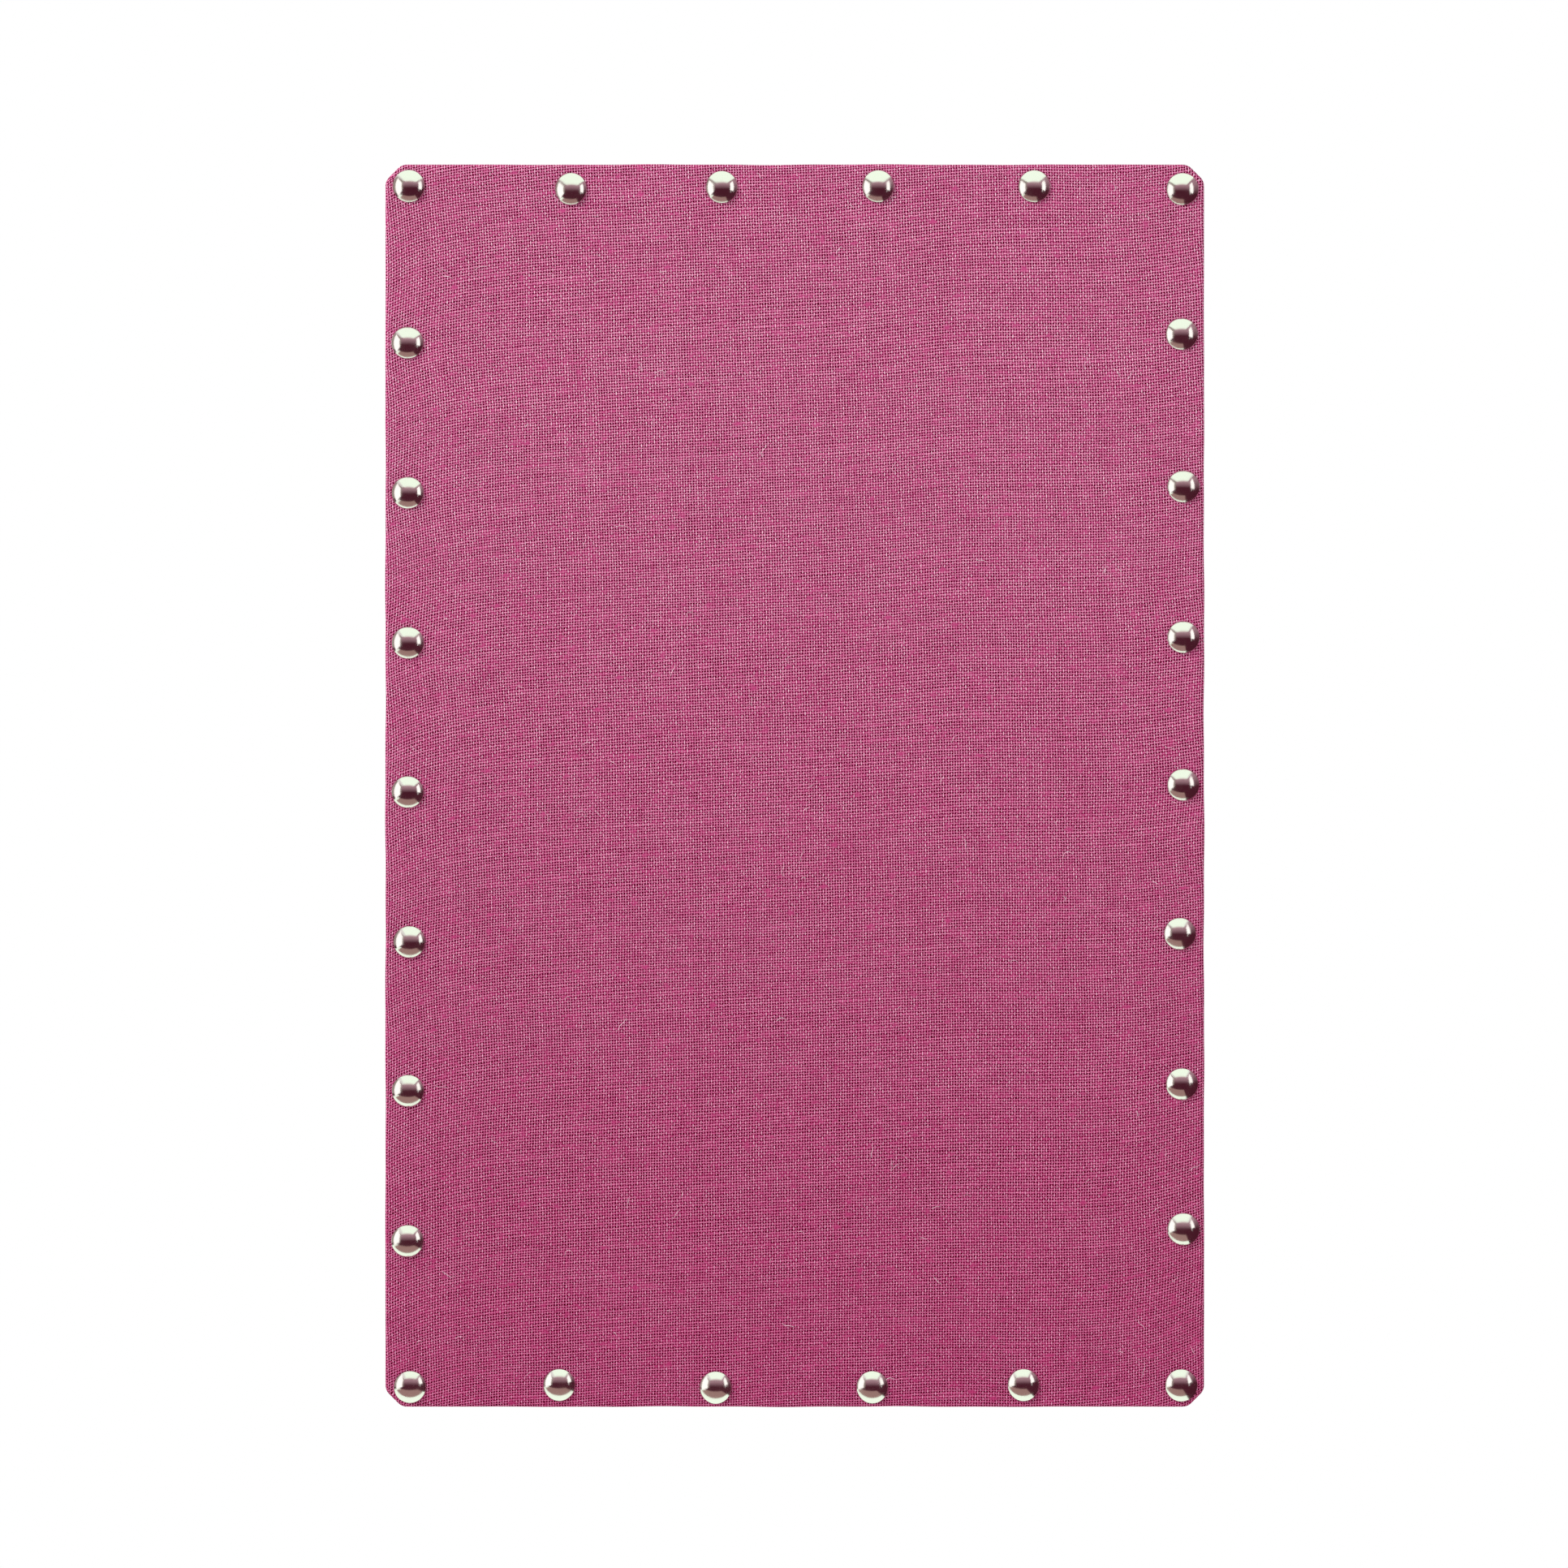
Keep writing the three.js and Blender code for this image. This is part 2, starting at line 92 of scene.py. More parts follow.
def linear(code):
    """Linear red, green and blue of an sRGB hex colour."""
    parts = np.array([int(code[i : i + 2], 16) for i in (1, 3, 5)]) / 255
    return tuple(np.where(parts <= 0.04045, parts / 12.92, ((parts + 0.055) / 1.055) ** 2.4))


def node_box(node):
    """Lowest and highest corner of a CAD node, as arrays in metres."""
    return tuple(np.array(corner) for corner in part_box(node))


def length(name, description, default):
    """A size in metres that the sidebar shows in the scene's own unit."""
    return FloatProperty(
        name=name, description=description, default=default, unit="LENGTH", precision=5
    )


def colour(name, description, code):
    """A colour that the sidebar shows as a swatch."""
    return FloatVectorProperty(
        name=name, description=description, default=linear(code), subtype="COLOR", min=0, max=1
    )


def brightness(name, description, default):
    """How bright a lamp's face is, however large the lamp."""
    return FloatProperty(name=name, description=description, default=default, min=0)


class BurlapSettings(PropertyGroup):
    """Sizes and colours of the woven cover."""

    warp_spacing: length("Warp spacing", "From one upright thread to the next", 1.295 * MM)
    weft_spacing: length("Weft spacing", "From one level thread to the next", 1.375 * MM)
    thickness: length("Thickness", "Thickness of the woven cloth", 0.8 * MM)
    pile: length("Pile", "How far the threads stand out of the plain solid", 0.42 * MM)
    dimple: length("Dimple", "How deep a stud presses the cloth in", 0.26 * MM)
    edge_radius: length("Edge radius", "Rounding where the cloth turns over an edge", 1.8 * MM)
    corner_cut: length("Corner cut", "How much each corner is clipped along both sides", 8 * MM)
    corner_radius: length("Corner radius", "Rounding at both ends of a corner cut", 6 * MM)
    hem_width: length("Hem width", "Width of the cloth turned over onto the back", 32 * MM)
    mesh_step: length("Mesh step", "Spacing of the cloth's mesh along the sides", 4 * MM)
    fibre_count: IntProperty(
        name="Loose fibres", description="Stray fibres on the front", default=150, min=0
    )
    # The gap, shade and top colours paint the weave's light: shade in the gaps and where a thread
    # dives under, a highlight where it bows out.
    gap: colour("Gap", "Deep shade between the threads", "#3c000a")
    warp_shade: colour("Warp in shade", "Upright thread where it dives under", "#920f4a")
    warp: colour("Warp", "Body of an upright thread", "#cf6898")
    warp_top_highlight: colour("Warp top", "Upright thread where it bows out", "#ffe3ef")
    weft_shade: colour("Weft in shade", "Level thread where it dives under", "#900b47")
    weft: colour("Weft", "Body of a level thread", "#ca598e")
    weft_top_highlight: colour("Weft top", "Level thread where it bows out", "#faafcd")
    # Painted light: a filter that darkens the cloth towards its lower edge, so that the upper part
    # looks lit more from above.
    painted_lower_shade: colour("Deeper dye", "Filter of the unfaded dye towards the lower edge", "#e6c3d6")
    clot: colour("Clot", "Felted knot of yarn that closes the gaps", "#c2467f")
    fibre: colour("Loose fibre", "Stray fibre that has taken little dye", "#f7d3e2")


class StudSettings(PropertyGroup):
    """Shape and finish of the nailheads."""

    rim_roll: length("Rim roll", "Rounding of the dome's rim", 0.25 * MM)
    lip: length("Lip", "Height of the rolled rim over the cloth", 0.25 * MM)
    wall: length("Wall", "Thickness of the pressed dome", 0.8 * MM)
    shank: length("Shank", "Diameter of the nail's shank", 2.2 * MM)
    point: length("Point", "Length of the nail's point", 3 * MM)
    lean: FloatProperty(
        name="Lean",
        description="Most that a hand-driven nail leans",
        default=math.radians(2.2),
        subtype="ANGLE",
    )
    nickel: colour("Nickel", "Polished nickel plate", "#d9d3cd")


class BackSettings(PropertyGroup):
    """Sizes and colours of the layers and fittings behind the cloth."""

    ring_wire: length("Ring wire", "Diameter of the D-ring's wire", 2.6 * MM)
    ring_reach: length("Ring reach", "From the ring's bar to the middle of its bow", 17 * MM)
    ring_bar: length("Ring bar", "Half of the bar's straight length", 6 * MM)
    ring_butt: length("Ring butt", "Gap where the wire's ends meet in the eye", 0.5 * MM)
    bumper_roll: length("Bumper rounding", "Rounding of the bumper's edges", 0.9 * MM)
    cork: colour("Cork", "Main colour of the pressed cork", "#b98d5f")
    fibreboard: colour("Fibreboard", "Main colour of the back panel", "#a68561")
    zinc: colour("Zinc", "Zinc plate on straps, rings and screws", "#c4c7ca")
    staple: colour("Staple wire", "Galvanised staple wire", "#b9bbbd")
    rubber: colour("Rubber", "Moulded rubber", "#2c2c2e")


class StageSettings(PropertyGroup):
    """Camera, lamps, floor and the flats that the studs mirror."""

    camera_distance: length("Camera distance", "From the lens to the cloth", 2.8)
    frame_width: length("Frame width", "Width of the picture at the cloth", 0.7697)
    aim_x: length("Aim across", "Where the camera points, across", -0.00528)
    aim_z: length("Aim up", "Where the camera points, upwards", 0.0008)
    floor_drop: length("Floor drop", "From the board's lower edge to the floor", 0.27)
    overhead: brightness("Overhead", "Brightness of the overhead softbox", 0.88)
    key: brightness("Key", "Brightness of the small upper left lamp", 43.0)
    side: brightness("Sides", "Mean brightness of the two side softboxes", 1.15)
    ambient: brightness("Ambient", "Brightness of the white room on the object", 0.16)
    rim: brightness("Rims", "Brightness of the softboxes behind both edges", 1.7)
    back: brightness("Back", "Brightness of the softbox behind the board", 2.1)
    wall: colour("Left wall", "Dim wall on the left", "#a3958f")
    window: colour("Windows", "Bright softboxes beside the board", "#ffffff")
    floor: colour("Floor", "Pale studio floor", "#f1f2ee")
    mint: colour("Ceiling", "Pale ceiling and table edge", "#e9faec")
    room: colour("Room", "Dark room in front of the board, near the floor", "#521f30")
    haze: colour("Room haze", "Room in front of the board, higher up", "#b48c9b")
    apron: colour("Table", "Brown table in front of the board", "#b08c88")


def add_node(tree, kind, inputs=(), operation=None, **settings):
    """Add one shader node, set it up, and give each listed input a link or a constant."""
    node = tree.nodes.new("ShaderNode" + kind)
    if operation:
        settings["operation"] = operation
    for name, value in settings.items():
        setattr(node, name, value)
    for socket, value in inputs.items() if isinstance(inputs, dict) else enumerate(inputs):
        if isinstance(value, bpy.types.Node):
            value = value.outputs[0]
        if isinstance(value, bpy.types.NodeSocket):
            tree.links.new(value, node.inputs[socket])
        else:
            node.inputs[socket].default_value = value
    return node


def cleared_nodes(owner):
    """Clear the nodes of a material or a world, and give the function that adds one."""
    owner.use_nodes = True
    owner.node_tree.nodes.clear()
    return partial(add_node, owner.node_tree)


def as_material(surface):
    """Turn a function that adds nodes and gives a shader into one that gives a named material."""

    @wraps(surface)
    def make(name, *settings, **options):
        material = bpy.data.materials.new(name)
        add = cleared_nodes(material)
        add("OutputMaterial", {"Surface": surface(add, *settings, **options)})
        return material

    return make


def noise(add, vector, scale, detail, dimensions="3D", **inputs):
    """A cloudy pattern of one scale, in space or on the flat cloth."""
    inputs |= {"Vector": vector, "Scale": scale, "Detail": detail}
    return add("TexNoise", inputs, noise_dimensions=dimensions)


def blend(add, share, first, second, **settings):
    """A colour that is a share of the way from one colour to another."""
    # A mix has its colours at inputs 6 and 7 and at output 2.
    mix = add("Mix", {0: share, 6: first, 7: second}, data_type="RGBA", **settings)
    return mix.outputs[2]


def opaque(rgb, share=1.0):
    """A colour socket's four numbers, for a tint or a share of it."""
    return (*np.multiply(rgb, share), 1.0)


def shades(rgb, *shares):
    """Darker and paler kinds of one tint, each as a colour socket's four numbers."""
    return [opaque(rgb, share) for share in shares]


def grid_faces(rows, columns, wrap, first):
    """Quads between neighbouring rows and columns of a grid that starts at a given vertex."""
    row, column = np.meshgrid(
        np.arange(rows - 1), np.arange(columns if wrap else columns - 1), indexing="ij"
    )
    beside = (column + 1) % columns
    corners = [(row, column), (row, beside), (row + 1, beside), (row + 1, column)]
    return first + np.stack([r * columns + c for r, c in corners], axis=-1).reshape(-1, 4)


def bake_places(corners):
    """Where the corners of each face, given as across + up i, lie on a square picture for baking.

    The lowest strip stands on end beside the rest, so that both together fill the square.
    """
    margin = 0.01
    corners = corners - complex(corners.real.min(), corners.imag.min())
    width, height = corners.real.max(), corners.imag.max()
    strip = (height - width) / 2
    low = corners.imag.mean(axis=1) < strip
    stood = width + 1j * corners[low].conj()
    corners = corners - 1j * strip
    corners[low] = stood
    return margin * (1 + 1j) + (1 - 2 * margin) * corners / (height - strip)


def new_piece(name, patches, material, wrap=False, outwards=True, sharp_angle=40):
    """One object from grids of points, each with or without two UV grids of its own.

    The UV grids give one map in metres, for patterns, and one for baking.
    Points of touching grids are merged, which also closes poles, and a closed shape's faces
    are turned outwards.
    """
    faces, first = [], 0
    for points, _ in patches:
        rows, columns = points.shape[:2]
        faces.append(grid_faces(rows, columns, wrap, first))
        first += rows * columns
    faces = np.concatenate(faces)
    mesh = bpy.data.meshes.new(name)
    points = np.concatenate([p.reshape(-1, 3) for p, _ in patches])
    mesh.from_pydata(points.tolist(), [], faces.tolist())
    if patches[0][1] is not None:
        flat, baked = (np.concatenate([maps[k].ravel() for _, maps in patches]) for k in (0, 1))
        for layer_name, places in (("cloth", flat[faces]), ("OFBake", bake_places(baked[faces]))):
            layer = mesh.uv_layers.new(name=layer_name)
            uv = np.stack([places.real, places.imag], axis=-1)
            layer.data.foreach_set("uv", uv.astype(np.float32).ravel())
    return finish_piece(name, mesh, material, outwards, sharp_angle)


def finish_piece(name, mesh, material, outwards, sharp_angle):
    """Merge doubles, turn faces outwards, shade smooth up to the sharp angle, and link."""
    work = bmesh.new()
    work.from_mesh(mesh)
    bmesh.ops.remove_doubles(work, verts=work.verts, dist=1e-6)
    bmesh.ops.dissolve_degenerate(work, edges=work.edges, dist=1e-7)
    if outwards:
        bmesh.ops.recalc_face_normals(work, faces=work.faces)
    # Where faces share a place on the baking map the last one shows, so the front comes last.
    work.faces.sort(key=lambda face: -face.calc_center_median().y)
    work.to_mesh(mesh)
    work.free()
    mesh.shade_smooth()
    mesh.set_sharp_from_angle(angle=math.radians(sharp_angle))
    mesh.materials.append(material)
    piece = bpy.data.objects.new(name, mesh)
    bpy.context.scene.collection.objects.link(piece)
    return piece


def threads(name, paths, radii, sides, material):
    """Many round threads in one object: a circle carried along each path.

    Each circle stands square to its path, with one axis level with the board's face and the
    other square to both. The ends are closed with flat caps.
    """
    count, steps = radii.shape
    along = np.gradient(paths, axis=1)
    along /= np.linalg.norm(along, axis=-1, keepdims=True)
    level = np.cross(along, [0.0, 1.0, 0.0])
    level /= np.linalg.norm(level, axis=-1, keepdims=True)
    upright = np.cross(level, along)
    angle = np.arange(sides)[:, None] * 2 * math.pi / sides
    circle = level[:, :, None] * np.cos(angle) + upright[:, :, None] * np.sin(angle)
    points = paths[:, :, None] + radii[:, :, None, None] * circle
    first = np.arange(count) * steps * sides
    walls = (first[:, None, None] + grid_faces(steps, sides, True, 0)).reshape(-1, 4)
    cap = np.arange(sides)
    caps = np.concatenate([first[:, None] + cap[::-1], first[:, None] + (steps - 1) * sides + cap])
    mesh = bpy.data.meshes.new(name)
    mesh.from_pydata(points.reshape(-1, 3).tolist(), [], walls.tolist() + caps.tolist())
    return finish_piece(name, mesh, material, outwards=True, sharp_angle=60)


def turned_piece(node, name, profile, steps, seat, facing, material, lean=(0, 0)):
    """A profile of (radius, height) turned once round its axis, in place of a node of the board.

    The axis stands on the board at the seat's level and faces the back, or with -1 the front.
    A lean tilts the profile's levels by two angles.
    """
    low, high = node_box(node)
    centre = (low + high) / 2
    angle = np.arange(steps) * 2 * math.pi / steps
    radius, height = profile[:, 0, None], profile[:, 1, None]
    right, up = radius * np.cos(angle), radius * np.sin(angle)
    height = height + right * math.tan(lean[0]) + up * math.tan(lean[1])
    points = np.stack([centre[0] + right, seat + facing * height, centre[2] + up], axis=-1)
    piece = new_piece(name, [(points, None)], material, wrap=True)
    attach(piece, "board")
    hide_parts(node)


def arc(middle, radius, turn):
    """Points (radius, height) of a half section on a circle, at angles from straight up."""
    x, y = middle
    return np.stack([x + radius * np.sin(turn), y + radius * np.cos(turn)], axis=-1)


def lengths_along(path):
    """How far each point of a path, given as across + up i, is from its start."""
    return np.concatenate([[0], np.cumsum(np.abs(np.diff(path)))])


def in_space(place, y):
    """Points in the board's frame, from places on its face as across + up i, and depths."""
    return np.stack([place.real, y, place.imag], axis=-1)


def along_side(half, side):
    """Half the length of one side of a rectangle, and how far that side is from the middle."""
    return (half.real, half.imag) if side % 2 == 0 else (half.imag, half.real)


def stud_centres():
    """Middle of every nailhead on the face of the board, as across + up i."""
    middle = np.array([node_box(name) for name in STUDS]).mean(axis=1)
    return middle[:, 0] + 1j * middle[:, 2]


def side_line(half_length, level, cloth):
    """One side of the outline, from the middle of one corner cut to the middle of the next.

    Half a 45 degree cut, an eighth of a circle, the straight side, another eighth and half a
    cut, as along + level i. Both ends are sampled finely and the rest evenly. Gives the points,
    their outward normals and the share of the side's length at each point.
    """
    cut, radius = cloth.corner_cut, cloth.corner_radius
    bend = np.radians(np.linspace(135, 90, 16))
    middle_of_cut = complex(-half_length + cut / 2, level - cut / 2)
    centre = complex(-half_length + cut + radius * math.tan(math.pi / 8), level - radius)
    half = np.concatenate([[middle_of_cut], centre + radius * np.exp(1j * bend)])
    facing = np.concatenate([bend[:1], bend])
    path = np.concatenate([half, -half[::-1].conj()])
    facing = np.concatenate([facing, math.pi - facing[::-1]])
    travelled = lengths_along(path)
    total, fine = travelled[-1], 12 * MM
    ends = np.linspace(0, fine, 10, endpoint=False)
    middle = np.linspace(fine, total - fine, round((total - 2 * fine) / cloth.mesh_step))
    samples = np.concatenate([ends, middle, total - ends[::-1]])
    points = np.interp(samples, travelled, path)
    return points, np.exp(1j * np.interp(samples, travelled, facing)), samples / total


def wrap_profile(cloth, front, back):
    """The cloth's section at an edge, from the front round to the hem, row by row.

    Front, quarter circle, side, quarter circle, hem. Each row has its inset from the outline,
    its share of the way to the inner rectangle, its depth, and how far out it lies on the flat
    cloth. Also gives how many rows are on the front.
    """
    radius, edge = cloth.edge_radius, cloth.corner_radius - 1 * MM
    turn = np.linspace(0, math.pi / 2, 6)
    around, sine, cosine = radius * turn, 1 - np.sin(turn), 1 - np.cos(turn)
    inward, hem = np.linspace(1, 0, 13), np.linspace(0, 1, HEM_ROWS)
    near = np.linspace(edge, radius, 4)[1:-1]
    side = np.linspace(front + radius, back - radius, 6)[1:-1]
    out = radius * math.pi / 2 - radius
    past = out + (back - front - 2 * radius)
    rest = cloth.hem_width - edge
    parts = (
        (edge, inward, front, -edge),
        (near, 0, front, -near),
        (radius * sine, 0, front + radius * cosine, around - radius),
        (0, 0, side, out + (side - front - radius)),
        (radius * cosine, 0, back - radius * sine, past + around),
        (near[::-1], 0, back, past + out + near[::-1]),
        (edge, hem, back, past + out + edge + hem * rest),
    )
    rows = np.concatenate([np.stack(np.broadcast_arrays(*part)) for part in parts], axis=1)
    return rows, len(inward) + len(near) + 1


def front_relief(points, cloth):
    """How far the cloth lies in from its plain front: a dimple at each stud and slow waves."""
    reach, swell = 11 * MM, 0.07 * MM
    gap = np.abs(points[..., None] - stud_centres())
    dimples = cloth.dimple * np.exp(-((gap / reach) ** 2)).sum(axis=-1)
    x, z = points.real / MM, points.imag / MM
    return dimples + swell * np.sin(x / 31 + 0.8 * np.sin(z / 47)) * np.sin(z / 37 + 1.3)


def weave_pull(points, half):
    """How far the cloth was dragged before it was nailed, as a shift on the flat cloth.

    The wefts climb to the right: steeply at the left edge (an exponential), gently up to a
    quarter short of the right edge (a ramp with a soft end and a small step), and again at the
    right edge (a tanh step, higher lower down). They lie closer and wider in bands (sines of
    height). The warps lean a little and sway most near the two upright edges (sines of height
    that fade inwards). Each stud drags the weave around it towards its own edge. Numbers are in
    millimetres.
    """
    x, z = points.real / MM, points.imag / MM
    wide, tall = half.real / MM, half.imag / MM
    from_left, from_right = wide + x, wide - x
    ramp = 0.055 * (x - 8 * np.logaddexp(0, (x - 82) / 8))
    left_pull = 12.6 * np.exp(-from_left / 28)
    lower_down = 1 + 1.6 * np.clip((-z - 100) / 168, 0, 1.3)
    right_pull = 5.8 * lower_down * (1 - np.tanh(from_right / 36))
    step = (0.56 + 1.4 * z / tall) * np.tanh((x - 61) / 28)
    bands = 1.2 * np.sin((z - 35) / 34) + 0.3 * np.sin(z / 9 + x / 60)
    climb = ramp - left_pull + right_pull + step + bands
    lean = -0.014 * z - 0.01 * z * z / tall
    left_sway = np.exp(-from_left / 90) * (0.62 * np.sin(z / 12.7) + 0.35 * np.sin(z / 21 + 2))
    right_sway = np.exp(-from_right / 70) * (0.45 * np.sin(z / 9.6 + 1) + 0.3 * np.sin(z / 23))
    sway = lean + left_sway + right_sway
    studs, reach, grip = stud_centres(), 20 * MM, 0.9
    outward = np.where(
        np.abs(studs.real) / half.real > np.abs(studs.imag) / half.imag,
        np.sign(studs.real),
        1j * np.sign(studs.imag),
    )
    drag = np.exp(-((np.abs(points[..., None] - studs) / reach) ** 2)) @ outward
    return -(sway + 1j * climb + grip * drag) * MM


def cover_patches(cloth):
    """The whole cover as five grids: the middle of the front and one wrap for each side.

    A wrap carries the edge's section along one side of the outline, which wanders by sines of
    its length. The hem settles towards its raw edge by the square of the way there, and the
    upper and lower hems lie over the other two at the corners. Each grid comes with its places
    on the flat cloth, and with its places for baking, where the hem lies folded in.
    """
    hem_lift, band, eased = 0.15 * MM, 30 * MM, 8 * MM
    settled, overlap, overlap_reach = 0.55 * MM, 0.75 * MM, 26 * MM
    low, high = node_box("burlap_cover")
    half = complex(high[0], high[2])
    front, back = low[1] - cloth.pile, high[1] + hem_lift
    inner = half - band * (1 + 1j)
    window = half - cloth.hem_width * (1 + 1j)
    (inset, inward, depth, out), front_rows = wrap_profile(cloth, front, back)
    on_front = (np.arange(len(inset)) < front_rows)[:, None]
    facing_front = np.clip((back - eased - depth) / (back - eased - front), 0, 1)[:, None]
    hem_start = out[-HEM_ROWS]
    into_hem = np.clip((out - hem_start) / (out[-1] - hem_start), 0, 1)[:, None]
    patches, shares = [], []
    for side in range(4):
        turn = (-1j) ** side
        across, level = along_side(half, side)
        points, normals, share = side_line(across, level, cloth)
        points, normals, travelled = points * turn, normals * turn, share * (across * 2)
        wander = 0.14 * np.sin(travelled / (17 * MM) + side) + 0.1 * np.sin(travelled / (6.3 * MM))
        points = points + normals * wander * MM * np.sin(math.pi * share)
        ring = points - normals * inset[:, None]
        front_edge, hem_edge = (
            (along * (2 * share - 1) + 1j * away) * turn
            for along, away in (along_side(inner, side), along_side(window, side))
        )
        place = ring + (np.where(on_front, front_edge, hem_edge) - ring) * inward[:, None]
        nearest = np.minimum(share, 1 - share) * across * 2
        tuck = np.exp(-nearest / overlap_reach) if side % 2 == 0 else 1.0 * (nearest == 0)
        rooted = np.where(on_front, place, points)
        relief = np.where(on_front, front_relief(rooted, cloth), 0)
        y = depth[:, None] + relief * facing_front
        y = y - settled * into_hem**2 + overlap * tuck * into_hem**0.5
        along, edge_level = (place / turn).real, (points / turn).imag
        turned_over = (along + 1j * (edge_level + out[:, None])) * turn
        folded_in = (along + 1j * (edge_level - out[:, None])) * turn
        flat = np.where(on_front, place, turned_over) + weave_pull(rooted, half)
        patches.append((in_space(place, y), (flat, np.where(on_front, place, folded_in))))
        shares.append(share)
    across = inner.real * (2 * shares[0] - 1)
    up = inner.imag * (2 * shares[1] - 1)
    middle = across[None, :] + 1j * up[:, None]
    flat = middle + weave_pull(middle, half)
    patches.append((in_space(middle, front + front_relief(middle, cloth)), (flat, middle)))
    return patches


def thread_family(add, across, along, yarn):
    """Height and tone of one family of parallel threads; the tone is painted shade and highlight.

    Across and along count threads. Each thread has its own width, swells at slubs and knots, is
    round in section, and rises and dips once for every pair of threads that it crosses.
    """
    own_width, low_lift, slub_lift, bow_lift = 0.07, 0.56, 0.45, 0.44
    body_tone, slub_tone, bow_shading = 0.77, -0.16, 0.17
    index = add("Math", [across], "FLOOR")
    # Threads lie far apart on the noise, so that none is like its neighbour.
    lane = add("Math", [index, 7.31, yarn.seed], "MULTIPLY_ADD")
    crossing = add("CombineXYZ", {"X": lane, "Y": along})
    knot = noise(add, crossing, yarn.knot_run, 0.0, "2D")
    knot = add("SeparateColor", [knot.outputs[1]])
    offset = add("Math", [across], "FRACT")
    offset = add("Math", [knot, yarn.knot_shift, offset], "MULTIPLY_ADD")
    offset = add("Math", [offset, 0.5 + yarn.knot_shift / 2], "SUBTRACT")
    run = add("Math", [along, yarn.slub_run], "MULTIPLY")
    line = add("CombineXYZ", {"X": lane, "Y": run})
    spun = noise(add, line, 1.0, 2.0, "2D", Roughness=0.55)
    slub = add("MapRange", [spun, 0.52, 0.76])
    uptake = add("SeparateColor", [spun.outputs[1]])
    uptake = add("MapRange", [uptake.outputs[1], 0.25, 0.75, 0.9, 1.1])
    own = add("TexWhiteNoise", {"W": lane}, noise_dimensions="1D")
    width = add("Math", [own, own_width, yarn.half_width], "MULTIPLY_ADD")
    width = add("Math", [slub, yarn.slub_swell, width], "MULTIPLY_ADD")
    width = add("Math", [knot.outputs[1], yarn.knot_swell, width], "MULTIPLY_ADD")
    section = add("Math", [offset, width], "DIVIDE")
    section = add("Math", [section, section], "MULTIPLY")
    crown = add("Math", [1.0, section], "SUBTRACT", use_clamp=True)
    section = add("Math", [crown], "SQRT")
    parity = add("Math", [index, math.pi], "MULTIPLY")
    parity = add("Math", [parity], "COSINE")
    bow = add("Math", [along, yarn.over * math.pi], "MULTIPLY")
    bow = add("Math", [bow], "SINE")
    bow = add("Math", [bow, parity], "MULTIPLY")
    lift = add("Math", [slub, slub_lift, low_lift], "MULTIPLY_ADD")
    lift = add("Math", [bow, bow_lift, lift], "MULTIPLY_ADD")
    height = add("Math", [section, lift], "MULTIPLY")
    # Painted shade and highlight: the tone is paler where the thread bows out and darker where it
    # dives and towards its edges, down to the gap; the slub and uptake terms vary it along the
    # yarn.
    tone = add("Math", [bow, bow_shading, body_tone], "MULTIPLY_ADD")
    tone = add("Math", [slub, slub_tone, tone], "MULTIPLY_ADD")
    tone = add("Math", [tone, uptake], "MULTIPLY")
    tone = add("Math", [crown, tone], "MULTIPLY")
    return height, tone


def fill_ramp(ramp, positions, tints):
    """Give a colour ramp its stops in rising order."""
    elements = ramp.color_ramp.elements
    while len(elements) < len(positions):
        elements.new(0.5)
    for element, position, tint in zip(elements, positions, tints):
        element.position, element.color = position, tint


